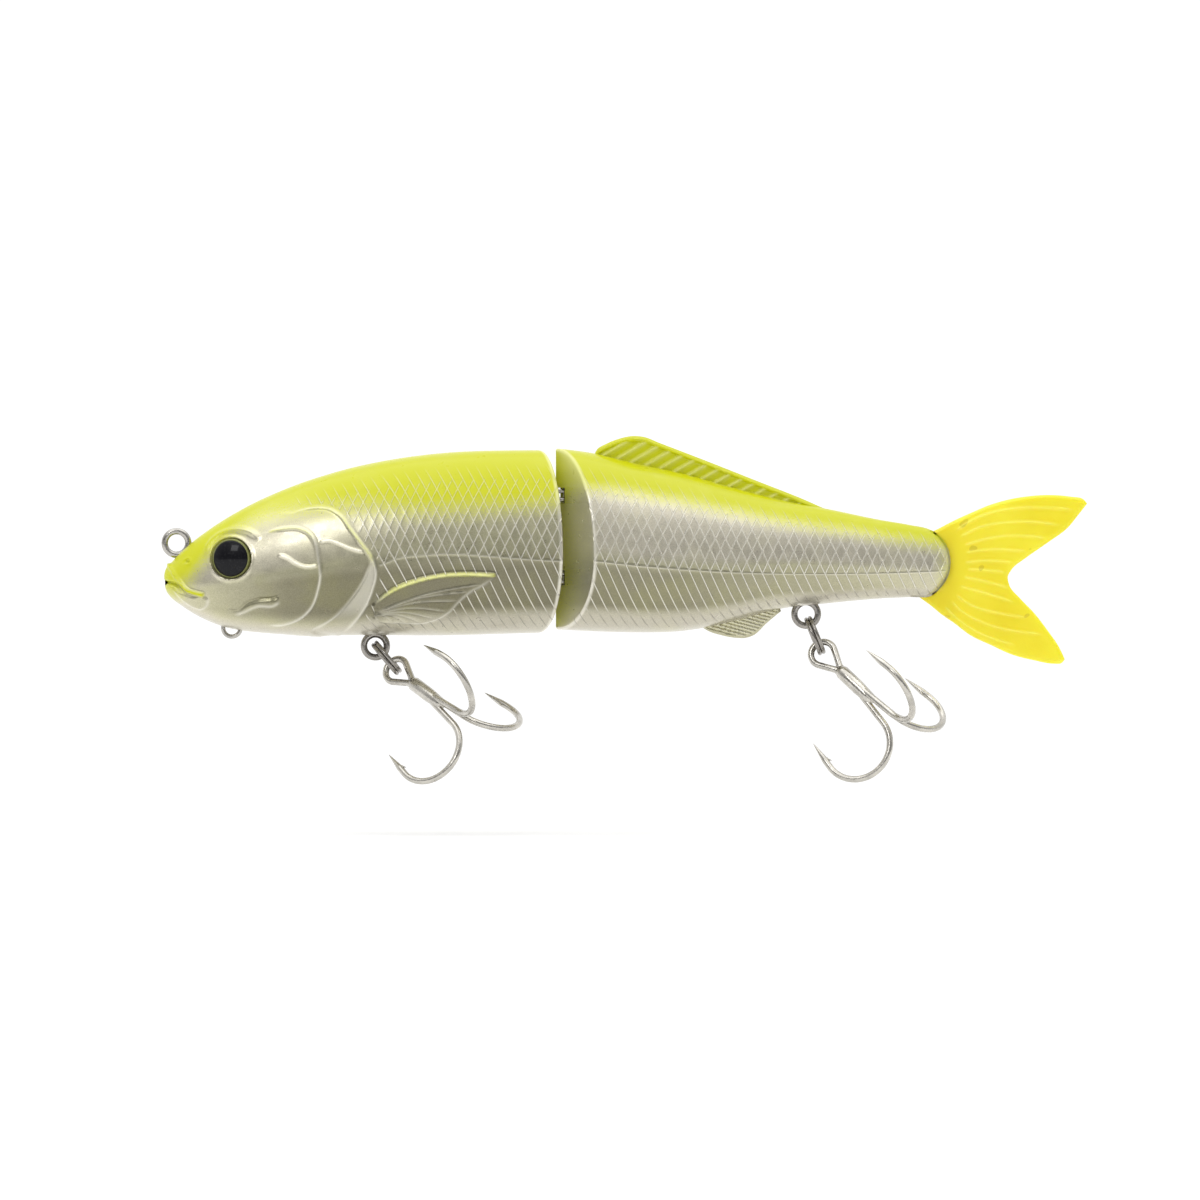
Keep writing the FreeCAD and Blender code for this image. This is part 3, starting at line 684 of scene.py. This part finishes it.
def close_seam(mesh, flank, seam_edge, hollow_span, slotted):
    """The flat face on the centre plane, with the hollow behind it."""
    rows, columns = flank.angle.shape
    row_x = flank.grid[:, 0, 0]
    top = range(0, rows * columns, columns)
    bottom = range(columns - 1, rows * columns, columns)
    whole = int(np.argmin(np.abs(row_x - SLOT_BACK_X - 1.0))) if slotted else rows - 8
    first, last = sorted(int(np.argmin(np.abs(row_x - x))) for x in hollow_span)
    last = min(last, whole - 2)
    depth = last - first + 1
    x, angle = np.meshgrid(row_x[first:last + 1], np.linspace(0, math.pi, HOLLOW_SIDES), indexing="ij")
    inner = surface(flank.stations, flank.end_x, x, angle, WALL)
    inner[:, (0, -1), 1] = 0.0
    start = mesh.add(inner, grid_faces(depth, HOLLOW_SIDES, flip=True), tone=0.4)
    lip_top = range(start, start + depth * HOLLOW_SIDES, HOLLOW_SIDES)
    lip_bottom = [i + HOLLOW_SIDES - 1 for i in lip_top]
    mesh.face(*range(lip_top[0], lip_bottom[0] + 1))
    mesh.face(*reversed(range(lip_top[-1], lip_bottom[-1] + 1)))
    for i in range(whole):
        above, below = (top[i], top[i + 1]), (bottom[i + 1], bottom[i])
        if first <= i < last:
            k = i - first
            mesh.face(*above, lip_top[k + 1], lip_top[k])
            mesh.face(bottom[i], lip_bottom[k], lip_bottom[k + 1], bottom[i + 1])
        elif i == first - 1:
            mesh.face(*above, lip_top[0], lip_bottom[0], *below)
        elif i == last:
            mesh.face(*above, *below, lip_bottom[-1], lip_top[-1])
        else:
            mesh.face(*above, *below)
    mesh.face(*top[whole:], *seam_edge, *bottom[:whole - 1:-1])
    mesh.face(*range(columns))


def front_shell():
    """The left front shell: outside, V face, seam face and hollow."""
    rows = section_rows(NOSE_X, END_CAP, 26, GROOVE_X - 0.6, 314)
    angles = even_angles(18.9, 14.2, 11.0, 216)
    flank = Flank(FRONT, NOSE_X, LATERAL_FRONT, GROOVE_X, GROOVE_ANGLE, rows, angles, 40.0, 0.08)
    x, z = flank.grid[..., 0], flank.grid[..., 2]
    skin = plate(SCALED, x, z, 1.0, 0.25)
    bare = skin * (1 - smooth_step(0.2, 0.8, plate(FIN_OUTLINE, x, z, 1.0, 0.5)))
    scaled = bare * flank.fade
    relief = head_relief(x, z) + pectoral_relief(x, z) + flank.scale_relief(scaled)
    flank.raise_by(relief + LATERAL_HEIGHT * bell(flank.line_gap, 0.16) * bare)
    yellow = np.maximum(yellow_share(x, z, FRONT_YELLOW, 3.4), highest(YELLOW_EDGES, x, z))
    crest = np.maximum(crest_highlight_lines(x, z), flank.crest(skin))
    paint = dict(yellow=yellow, scales=scaled, tone=flank.tone(x, FRONT_PAINTED_LIGHT_TONES), crest=crest)
    return close_half(flank, paint, FRONT_HOLLOW)


def rear_shell():
    """The left rear shell with its half of the back and belly fins."""
    rows = section_rows(TAIL_END_X, -END_CAP, 27, WEDGE_X + 0.9, 322)
    angles = even_angles(18.4, 13.6, 11.0, 214)
    flank = Flank(REAR, TAIL_END_X, LATERAL_REAR, WEDGE_X, WEDGE_ANGLE, rows, angles, 96.0, 0.13)
    x, z = flank.grid[..., 0], flank.grid[..., 2]
    near_end = smooth_step(138.3, 137.2, x)
    scaled = flank.fade * near_end
    relief = flank.scale_relief(scaled) + LATERAL_HEIGHT * bell(flank.line_gap, 0.16) * near_end
    flank.raise_by(relief * np.clip(np.sin(flank.angle) ** 0.5 * 3.0, 0, 1))
    out_x, out_y, out_z = np.moveaxis(flank.grid, -1, 0)
    flare = TAIL_GAP + np.clip(out_x - TAIL_AXIS_X, 0, None) * math.tan(math.radians(TAIL_SWING))
    in_slot = (out_x > TAIL_SLOT_X) & (out_z < TAIL_SLOT_TOP)
    flank.grid[..., 1] = np.where(in_slot, np.minimum(out_y, -flare), out_y)
    yellow = np.maximum(yellow_share(x, z, REAR_YELLOW, 2.4), 0.34 * smooth_step(134.5, 138.0, x))
    paint = dict(yellow=yellow, scales=scaled, tone=flank.tone(x, REAR_PAINTED_LIGHT_TONES), crest=flank.crest(near_end))
    mesh = close_half(flank, paint, REAR_HOLLOW, SLOTS)
    dorsal_foot = [(x, foot_height(x) - 2.3) for x in (74.9, 85.0, 100.0, 117.4)]
    fin_half(mesh, DORSAL_TOP, dorsal_foot, dorsal_relief, 200, 26, yellow=1.0)
    fin_half(mesh, ANAL_EDGE, ANAL_FOOT, anal_relief, 80, 22, yellow=0.0, tone=0.5)
    return mesh


# ---- back and belly fins ----
DORSAL_TOP = ((74.6, 15.2), (75.3, 16.8), (77.0, 17.8), (79.3, 18.7), (81.6, 19.15), (83.6, 19.0),
              (86.5, 17.9), (95.1, 14.6), (103.7, 11.2), (112.3, 7.8), (116.0, 6.2), (118.3, 5.4))
DORSAL_FOOT_START, DORSAL_FOOT_SLOPE = (76.2, 15.5), -0.247
DORSAL_RAYS, DORSAL_RAY_PITCH, DORSAL_RAY_ANGLE = 16, 2.5, 31.0
DASH_PITCH = 1.25
ANAL_EDGE = ((93.8, -14.9), (95.5, -15.9), (97.1, -16.4), (100.4, -17.0), (101.8, -17.0), (103.1, -16.6),
             (105.7, -14.3), (108.2, -12.2))
ANAL_FOOT = ((93.9, -13.2), (98.0, -12.7), (103.0, -11.6), (107.6, -10.4))
ANAL_RAY_START, ANAL_RAY_SLOPE, ANAL_RAY_PITCH = (106.0, -12.2), -0.27, 0.62
FIN_PANEL_HALF = 0.45        # half thickness between the rays


def foot_height(x):
    return DORSAL_FOOT_START[1] + DORSAL_FOOT_SLOPE * (x - DORSAL_FOOT_START[0])


def dorsal_relief(x, z, top_z):
    """Height, painted shade for the sunk panel, and a painted highlight on the rays and dashes; the raised
    lines are slanted rays, a rim under the edge, and dashes at the foot.
    """
    angle = math.radians(DORSAL_RAY_ANGLE)
    spread = math.tan(angle) - DORSAL_FOOT_SLOPE
    foot_x = (math.tan(angle) * x - z + foot_height(0)) / spread
    number = (foot_x - DORSAL_FOOT_START[0]) / DORSAL_RAY_PITCH
    gap = np.abs(number - np.round(number)) * DORSAL_RAY_PITCH * spread * math.cos(angle)
    ray = bell(gap, 0.25) * (np.round(number) >= 0) * (np.round(number) < DORSAL_RAYS)
    over_foot = z - foot_height(x)
    panel = smooth_step(0.75, 1.05, top_z - z) * smooth_step(-0.1, 0.3, over_foot)
    dash_at = (x - DORSAL_FOOT_START[0]) / DASH_PITCH
    dashes = smooth_step(0.34, 0.22, np.abs(dash_at - np.round(dash_at))) * bell(over_foot + 0.75, 0.26)
    height = 0.32 * (1 - panel) + 0.3 * ray * panel + 0.2 * dashes
    return height, panel * (1 - ray), np.maximum(ray * panel, dashes)


def anal_relief(x, z, low_z):
    """Fine rays that slope down towards the tail, with painted shade between them and a painted highlight on
    them.
    """
    across = (z - ANAL_RAY_START[1] - ANAL_RAY_SLOPE * (x - ANAL_RAY_START[0])) / ANAL_RAY_PITCH
    ray = bell(across - np.round(across), 0.22)
    panel = smooth_step(0.3, 0.6, z - low_z)
    return 0.22 * (1 - panel) + 0.2 * ray * panel, 0.3 * panel * (1 - ray), ray * panel


def fin_half(mesh, edge_points, foot_points, relief, columns, rows, **values):
    """A half plate in the centre plane, as a grid from its foot inside the body to its outer edge."""
    foot, edge = path_through(foot_points, columns), path_through(edge_points, columns)
    share = np.linspace(0, 1, rows) ** 0.9
    x, z = np.moveaxis(foot[:, None, :] + (edge - foot)[:, None, :] * share[None, :, None], -1, 0)
    height, panel, ray = relief(x, z, np.broadcast_to(edge[:, None, 1], x.shape))
    to_edge = np.linalg.norm(edge - foot, axis=1)[:, None] * (1 - share)[None, :]
    from_ends = np.minimum(np.arange(columns), columns - 1 - np.arange(columns))[:, None]
    rounding = np.sqrt(np.clip(to_edge / 0.6, 0, 1)) * np.sqrt(np.clip(from_ends / 4.0, 0, 1))
    grid = np.stack([x, -(FIN_PANEL_HALF + height) * rounding, z], axis=-1)
    # the fin rays carry a painted highlight
    mesh.add(grid, grid_faces(columns, rows), panel=panel, crest=0.55 * ray, **values)
    mesh.add(grid * (1, 0, 1), grid_faces(columns, rows, flip=True), **values)


# ---- eyes ----

EYE_SHIFT = 0.45             # brings the tilted dome's face to the socket's middle
EYE_TURN, EYE_OUT, EYE_DEPTH = 17.0, 6.5, 1.6
DOME_RADIUS, DOME_HEIGHT, DOME_DROP = 3.2, 0.85, 0.75


def eye_piece():
    """A dome with a thin clear rim, facing out and a little towards the nose."""
    mesh = Mesh()
    sides, turn = 72, math.radians(EYE_TURN)
    dome = np.linspace(0.0, 3.12, 20)
    radii = np.concatenate([dome, (3.2, 3.26, 3.34, 3.42, 3.48, 3.48)])
    dome_heights = DOME_HEIGHT - DOME_DROP * (dome / DOME_RADIUS) ** 2
    heights = np.concatenate([dome_heights, (0.06, 0.0, 0.05, 0.02, -0.1, -1.5)])
    around = full_turn(sides)
    x, z = radii[:, None] * np.cos(around), radii[:, None] * np.sin(around)
    y = np.broadcast_to(-heights[:, None], x.shape) - EYE_DEPTH
    points = np.stack([x * math.cos(turn) + y * math.sin(turn) + EYE[0] + EYE_SHIFT,
                       y * math.cos(turn) - x * math.sin(turn) + EYE_DEPTH - EYE_OUT,
                       z + EYE[1]], axis=-1)
    rim = smooth_step(DOME_RADIUS, DOME_RADIUS + 0.06, radii)
    mesh.add(points, grid_faces(len(radii), sides, wrap=True), rim=np.repeat(rim, sides))
    mesh.face(*range(mesh.count - sides, mesh.count))
    return mesh


# ---- tail ----
TAIL_TAB = ((131.6, 1.5), (134.5, 1.7))
TAIL_UPPER = ((136.0, 2.4), (139.1, 4.0), (142.4, 5.5), (145.5, 6.8), (149.0, 7.8), (152.7, 8.4),
              (156.2, 8.6), (160.1, 8.3), (162.3, 7.85), (163.0, 7.05))
TAIL_FORK = ((163.0, 7.05), (161.4, 5.0), (159.5, 2.7), (156.0, 0.1), (152.0, -2.7), (149.6, -4.6),
             (148.8, -5.9), (149.1, -7.6), (151.1, -10.0), (153.6, -12.6), (155.9, -15.6), (157.9, -18.5),
             (159.0, -20.8))
TAIL_LOWER = ((159.0, -20.8), (158.4, -21.5), (157.0, -21.6), (153.5, -21.0), (149.6, -20.0),
              (145.8, -18.3), (142.2, -16.6), (139.1, -14.3), (136.8, -12.7), (135.0, -11.2),
              (133.2, -9.9), (131.6, -8.7))
TAIL_RAYS = (
    ((139.2, 1.9), (142.0, 3.9), (146.3, 5.6), (151.1, 6.3), (161.4, 5.9)),
    ((140.0, 0.9), (142.9, 2.5), (149.9, 3.8), (158.7, 3.2)),
    ((140.8, -0.4), (147.5, 1.2), (156.1, 0.9)),
    ((141.0, -1.7), (145.1, -1.2), (152.5, -1.5)),
    ((141.0, -3.5), (143.9, -3.2), (149.9, -3.5)),
    ((141.5, -4.7), (144.5, -4.8), (148.4, -5.3)),
    ((140.8, -6.1), (144.5, -6.8), (149.2, -8.1)),
    ((140.0, -7.7), (144.5, -8.9), (150.1, -10.6)),
    ((139.3, -9.1), (142.4, -11.2), (147.0, -12.5), (152.5, -13.3)),
    ((138.5, -10.1), (140.8, -12.4), (145.1, -14.5), (155.4, -16.3)),
    ((137.4, -11.2), (139.8, -13.6), (143.9, -16.2), (150.5, -18.3)),
)
TAIL_SWELL = ((136.8, 0.6), (137.4, -3.6), (136.6, -8.8))
RAY_HEIGHT = 0.24


def tail_piece():
    """The whole soft tail: the tab in the slot and the forked blade with its raised rays."""
    mesh = Mesh()
    rows, columns = 150, 120
    upper = path_through(TAIL_TAB + TAIL_UPPER, rows)
    lower = path_through(TAIL_LOWER[::-1], rows)
    share = np.linspace(0, 1, columns)[:, None]
    # each row runs from the upper edge to the lower edge; the fork pulls the middle of the late rows back
    pull = np.linspace(0, 1, rows)[:, None, None] ** 1.7
    chord = upper[-1] + (lower[-1] - upper[-1]) * share
    fork = path_through(TAIL_FORK, columns)
    side = upper[:, None, :] + (lower - upper)[:, None, :] * share + pull * (fork - chord)
    x, z = side[..., 0], side[..., 1]
    from_top = np.cumsum(np.linalg.norm(np.diff(side, axis=1, prepend=side[:, :1]), axis=-1), axis=1)
    to_edge = np.minimum(from_top, from_top[:, -1:] - from_top)
    to_end = np.linalg.norm(side - side[-1:], axis=-1)
    from_start = np.linalg.norm(side - side[:1], axis=-1)
    nearest = np.minimum(np.minimum(to_edge, to_end), from_start + 0.02)
    relief = ridges([(ray, RAY_HEIGHT, 0.18, 0.08, 0.12) for ray in TAIL_RAYS], x, z)
    relief += ridge(TAIL_SWELL, x, z, 0.12, 0.5, 0.1, 0.1)
    taper = 0.86 - 0.36 * smooth_step(139.0, 160.0, x)
    rounded = np.sqrt(np.clip(nearest / 0.7, 0.0, 1)) ** 0.8
    half = np.maximum((taper + relief * smooth_step(0.1, 0.9, nearest)) * rounded, 0.0)
    half = np.minimum(half, np.where(x < 137.6, 0.9, 1.1))
    root, ray = smooth_step(141.0, 137.5, x), np.clip(relief / RAY_HEIGHT, 0, 1)
    for sign in (-1, 1):
        grid = np.stack([x, sign * half, z], axis=-1)
        mesh.add(grid, grid_faces(rows, columns, flip=sign > 0), root=root, ray=ray)
    return mesh


# ---- rings and hooks ----

COIL_RADIUS, COIL_WIRE, COIL_PITCH = 3.28, 0.375, 0.72
FRONT_RING_ANGLE, REAR_RING_ANGLE = 50.0, 68.0
HOOK_WIRE, SHANK_RADIUS = 0.6, 1.28
HOOK_EYE_RADIUS, HOOK_EYE_LENGTH = 2.2, 6.2
LEG_START, BEND_RADIUS, BEND_START, BEND_END = (0.35, 5.0), 6.2, (1.5, 13.6), 190.0
SPEAR_LENGTH, BARB_AT = 5.45, 1.5
# degrees below the horizontal, to the left, and round the shank; then the slip along it from the ring
FRONT_HOOK, REAR_HOOK = ((36.0, 38.0, 2.0), 3.4), ((44.0, 24.0, -4.0), 4.3)


def joint_place(name):
    return np.array(next(j for j in frame["joints"] if j["name"] == name)["pos_m"]) / MM


def below_horizontal(angle):
    return np.array((math.cos(math.radians(angle)), 0.0, -math.sin(math.radians(angle))))


def split_ring(top, angle):
    """Wire wound twice round, with its ends laid against the next turn."""
    mesh = Mesh()
    turn = np.linspace(1.75, 4 * math.pi + 1.95, 190)[:, None]
    share = np.linspace(0, 1, 190)[:, None]
    step_over = 0.5 * COIL_PITCH * np.sin(0.5 * math.pi * np.clip((share - 0.5) / 0.10, -1, 1))
    along = below_horizontal(angle)
    across = np.array((along[2], 0.0, -along[0]))
    centre = top + along * COIL_RADIUS
    path = centre + COIL_RADIUS * (np.sin(turn) * (0, 1, 0) - np.cos(turn) * along) + step_over * across
    tube(mesh, path, COIL_WIRE, 16)
    return mesh
def turned(points, axis, degrees):
    angle = math.radians(degrees)
    c, s = math.cos(angle), math.sin(angle)
    x, y, z = np.asarray(points, float).T
    if axis == "X":
        return np.stack([x, c * y - s * z, s * y + c * z], axis=1)
    if axis == "Y":
        return np.stack([c * x + s * z, y, c * z - s * x], axis=1)
    return np.stack([c * x - s * y, s * x + c * y, z], axis=1)


def arm_path():
    """The middle of one arm's wire, its radius at each point, and the barb, as (out, down)."""
    leg, bend = np.array(LEG_START), np.array(BEND_START)
    lean = math.atan2(bend[0] - leg[0], bend[1] - leg[1])
    centre = bend + BEND_RADIUS * np.array((math.cos(lean), -math.sin(lean)))
    end = math.radians(BEND_END)
    angles = np.linspace(lean, end, 44)
    bow = centre + BEND_RADIUS * np.stack([-np.cos(angles), np.sin(angles)], axis=1)
    straight = leg + (bow[0] - leg) * np.linspace(0, 1, 12)[:-1, None]
    upward = np.array((math.sin(end), math.cos(end)))
    along_spear = np.linspace(0.3, SPEAR_LENGTH, 26)
    path = np.concatenate([straight, bow, bow[-1] + upward * along_spear[:, None]])
    taper = np.full(len(path), HOOK_WIRE)
    point = np.clip((SPEAR_LENGTH + 0.1 - along_spear) / (SPEAR_LENGTH + 0.1 - BARB_AT), 0.03, 1) ** 0.85
    taper[-26:] *= np.where(along_spear < BARB_AT, 1.0, point)
    inward = np.array((-1.0, 0.0))
    root = bow[-1] + upward * (BARB_AT + 0.5) + inward * 0.12
    back = inward * 0.55 - upward
    barb = root + back / np.linalg.norm(back) * np.array((0.0, 0.5, 1.1, 1.6))[:, None]
    return path, taper, barb


def hung(path):
    """(out, down) to x, y, z with the arm towards -X."""
    path = np.asarray(path)
    return np.stack([-path[:, 0], np.zeros(len(path)), -path[:, 1]], axis=1)


def treble(ring_bottom, angles, slip):
    """Three barbed arms brazed to a shank, with a wire eye at its top."""
    mesh = Mesh()
    below, left, turn = angles
    flat = math.cos(math.radians(left))
    direction = below_horizontal(below) * flat - (0, math.sin(math.radians(left)), 0)

    def put(points):
        return turned(turned(points, "X", -left), "Y", below - 90) + ring_bottom + direction * slip

    path, taper, barb = arm_path()
    for spin in (turn, turn + 120, turn + 240):
        tube(mesh, put(turned(hung(path), "Z", spin)), taper, 14)
        tube(mesh, put(turned(hung(barb), "Z", spin)), (0.34, 0.27, 0.16, 0.03), 10)
    down = np.array((0.15, 0.35, 0.7, 1.2, 3.0, 5.5, 7.6, 8.7, 9.2, 9.42))
    thick = (0.5, 0.85, 1.05, SHANK_RADIUS, SHANK_RADIUS, SHANK_RADIUS, 1.13, 1.05, 0.85, 0.5)
    tube(mesh, put(hung(np.stack([down * 0, down], axis=1))), thick, 24)
    foot, centre_down = 0.45, HOOK_EYE_RADIUS - HOOK_EYE_LENGTH
    start = math.acos(HOOK_EYE_RADIUS / math.hypot(foot, centre_down)) + math.atan2(foot, -centre_down)
    sweep = np.linspace(start, 2 * math.pi - start, 48)
    loop = HOOK_EYE_RADIUS * np.stack([np.sin(sweep), np.cos(sweep)], axis=1) + (0, centre_down)
    feet = np.array(((foot, 0.6), (foot, 0.3), (foot + 0.02, 0.0)))
    tube(mesh, put(hung(np.concatenate([feet, loop, feet[::-1] * (-1, 1)]))), HOOK_WIRE, 16)
    return mesh


# ---- wires ----

WIRE, CHIN_WIRE = 0.6, 0.4
LINE_RING, LINE_STEM, LINE_ANCHOR, LINE_ANGLE = 2.1, 7.5, 1.7, 50.0
CHIN_RING, CHIN_LEG_HEIGHTS = 1.55, (-11.6, -13.4, -14.7)
FRONT_HANGER, REAR_HANGER = 2.05, 2.1
HANGER_STEM, HANGER_BAR = 7.5, 2.4
HANGER_TOUCH = 0.22          # how far the rear ring's wire sits off the hanger's


def wire_centre(node, radius, wire):
    """Centre of a wire ring, from the middle and the lowest point of its CAD node, to 0.1 mm."""
    low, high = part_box(node)
    return np.round(((low[0] + high[0]) / 2 / MM, 0.0, low[2] / MM + radius + wire), 1)


def ring_wire(mesh, centre, radius):
    around = full_turn(64)
    circle = np.stack([np.cos(around), around * 0, np.sin(around)], axis=1)
    tube(mesh, centre + circle * radius, WIRE, 18, closed=True)


def line_tie_wire():
    """The nose ring, its stem and the ring that anchors it."""
    mesh = Mesh()
    along = below_horizontal(LINE_ANGLE)
    ring_wire(mesh, 0, LINE_RING)
    tube(mesh, np.linspace(along * LINE_RING, along * (LINE_RING + LINE_STEM), 14), WIRE, 18)
    ring_wire(mesh, along * (LINE_RING + LINE_STEM + LINE_ANCHOR), LINE_ANCHOR)
    return mesh


def chin_loop_wire():
    """A half ring on two legs."""
    mesh = Mesh()
    x, _, z = wire_centre("chin_loop", CHIN_RING, CHIN_WIRE)
    half = np.linspace(math.pi, 2 * math.pi, 30)
    bow = np.stack([x + CHIN_RING * np.cos(half), half * 0, z + CHIN_RING * np.sin(half)], axis=1)
    leg_in = [(x - CHIN_RING, 0, height) for height in CHIN_LEG_HEIGHTS]
    leg_out = [(x + CHIN_RING, 0, height) for height in CHIN_LEG_HEIGHTS[::-1]]
    tube(mesh, np.concatenate([leg_in, bow, leg_out]), CHIN_WIRE, 16)
    return mesh


def hanger_wire(centre, radius):
    """The ring under the belly, its stem and its cross bar."""
    mesh = Mesh()
    top = centre + (0, 0, radius + HANGER_STEM)
    ring_wire(mesh, centre, radius)
    tube(mesh, np.linspace(centre + (0, 0, radius), top, 12), WIRE, 16)
    tube(mesh, np.linspace(top - (HANGER_BAR, 0, 0), top + (HANGER_BAR, 0, 0), 8), WIRE, 16)
    return mesh


# ================= putting it together =================

paint = body_paint()
bright = steel("bright_tin", (0.62, 0.595, 0.54), 0.22)
nickel = steel("black_nickel", (0.36, 0.34, 0.31), 0.24)
stainless = steel("stainless_wire", (0.52, 0.50, 0.46), 0.22)
lead = steel("cast_lead", (0.30, 0.31, 0.33), 0.5, 0.00008)
eyes = eye_material()
soft = soft_tail_material()


def place(mesh, name, material, body, node, slot, smooth_angle=50, weld=0.0):
    """Makes a piece that rides on a body and stands for a CAD node."""
    piece = mesh.make(name, material, smooth_angle, weld)
    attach(piece, body)
    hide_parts(node)


for section, left_shell in (("front", front_shell()), ("rear", rear_shell())):
    for side, shell in (("left", left_shell), ("right", left_shell.mirrored())):
        place(shell, f"{section}_{side}_skin", paint, f"{section}_section", f"{section}_shell_{side}",
              "painted_shell", 38, 0.004)

left_eye = eye_piece()
for side, eye in (("left", left_eye), ("right", left_eye.mirrored())):
    place(eye, f"{side}_eye_dome", eyes, "front_section", f"eye_{side}", "eye", 40)

front_centre = wire_centre("front_hanger", FRONT_HANGER, WIRE)
rear_centre = wire_centre("rear_hanger", REAR_HANGER, WIRE)
rear_reach = REAR_HANGER - WIRE - COIL_WIRE - HANGER_TOUCH
front_top = joint_place("front_ring_swing")
rear_top = rear_centre + below_horizontal(REAR_RING_ANGLE) * rear_reach
ends = (("front", front_top, FRONT_RING_ANGLE, FRONT_HOOK), ("rear", rear_top, REAR_RING_ANGLE, REAR_HOOK))
for end, top, angle, _ in ends:
    ring_mesh = split_ring(top, angle)
    place(ring_mesh, f"{end}_ring_wire", nickel, f"{end}_ring", f"{end}_split_ring", "split_ring")
for end, top, angle, hook in ends:
    hook_mesh = treble(top + below_horizontal(angle) * 2 * COIL_RADIUS, *hook)
    place(hook_mesh, f"{end}_hook", bright, f"{end}_hook", f"{end}_treble", "hook")
for mesh, node, material, end in (
    (line_tie_wire(), "line_tie", stainless, "front"),
    (chin_loop_wire(), "chin_loop", stainless, "front"),
    (hanger_wire(front_centre, FRONT_HANGER), "front_hanger", nickel, "front"),
    (hanger_wire(rear_centre, REAR_HANGER), "rear_hanger", nickel, "rear"),
):
    place(mesh, f"{node}_wire", material, f"{end}_section", node, "wire")

tail = tail_piece().make("soft_tail", soft, 45, 0.002)
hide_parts("tail_fin", "tail_tab")
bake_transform(tail)

inside_nodes = {name: stainless for name in frame["nodes"] if name.startswith("hinge_") or name == "tail_pin"}
inside_nodes.update(front_ballast=lead, rear_ballast=lead)
for name, material in inside_nodes.items():
    materials = frame["nodes"][name].data.materials
    materials.clear()
    materials.append(material)


# ---- floor, light and camera, in metres ----

FLOOR_PLACE = (0.076, -0.25, -0.052)
# name, place, aim, size and power
LAMPS = (("top_softbox", (0.05, -0.25, 1.4), (0.076, -0.1, 0.0), (2.2, 1.8), 12.8),
         ("front_fill", (-0.5, -1.2, 0.75), (0.076, 0.0, 0.0), (0.5, 0.4), 2.8))
VIEW_CENTRE, VIEW_WIDTH, VIEW_DISTANCE = (0.0758, -0.0102), 0.2148, 1.5
SENSOR_WIDTH = 36.0          # millimetres


def floor():
    bpy.ops.mesh.primitive_circle_add(vertices=96, radius=1.0, fill_type="NGON", location=FLOOR_PLACE)
    plane = bpy.context.object
    plane.name = "floor"
    material, n, shader = new_material("floor_paper")
    n.feed(shader, {"Base Color": n.mixed(n.noise(3.0), (0.92, 0.92, 0.92), (0.94, 0.94, 0.94)),
                    "Roughness": 0.7})
    plane.data.materials.append(material)


def area_light(name, place_at, aim, size, power):
    data = bpy.data.lights.new(name, "AREA")
    data.shape = "RECTANGLE"
    data.size, data.size_y = size
    data.energy = power
    lamp = bpy.data.objects.new(name, data)
    lamp.location = place_at
    lamp.rotation_mode = "QUATERNION"
    lamp.rotation_quaternion = (Vector(aim) - Vector(place_at)).to_track_quat("-Z", "Y")
    bpy.context.scene.collection.objects.link(lamp)


def world_light():
    """Pale all round, and brighter behind the object and overhead."""
    world = bpy.data.worlds.new("studio")
    bpy.context.scene.world = world
    world.use_nodes = True
    n = Nodes(world.node_tree)
    parts = n.new("ShaderNodeSeparateXYZ", {0: n.new("ShaderNodeTexCoord", {}).outputs["Generated"]})
    behind = n.ramp(parts.outputs["Y"], -0.5, 0.35)
    overhead = n.ramp(parts.outputs["Z"], 0.1, 0.8, 0.0, 0.5)
    room = n.maths("MINIMUM", n.maths("ADD", n.times(behind, 0.86), overhead), 0.86)
    n.feed(world.node_tree.nodes["Background"], {"Color": WHITE, "Strength": n.maths("ADD", room, 0.22)})


def camera():
    data = bpy.data.cameras.new("camera")
    data.sensor_width = SENSOR_WIDTH
    data.lens = SENSOR_WIDTH * VIEW_DISTANCE / VIEW_WIDTH
    data.clip_start, data.clip_end = 0.05, 20.0
    made = bpy.data.objects.new("camera", data)
    made.location = (VIEW_CENTRE[0], -VIEW_DISTANCE, VIEW_CENTRE[1])
    made.rotation_euler = (math.radians(90), 0, 0)
    bpy.context.scene.collection.objects.link(made)
    bpy.context.scene.camera = made


floor()
for lamp in LAMPS:
    area_light(*lamp)
world_light()
camera()
bpy.context.scene.view_settings.view_transform = "Standard"
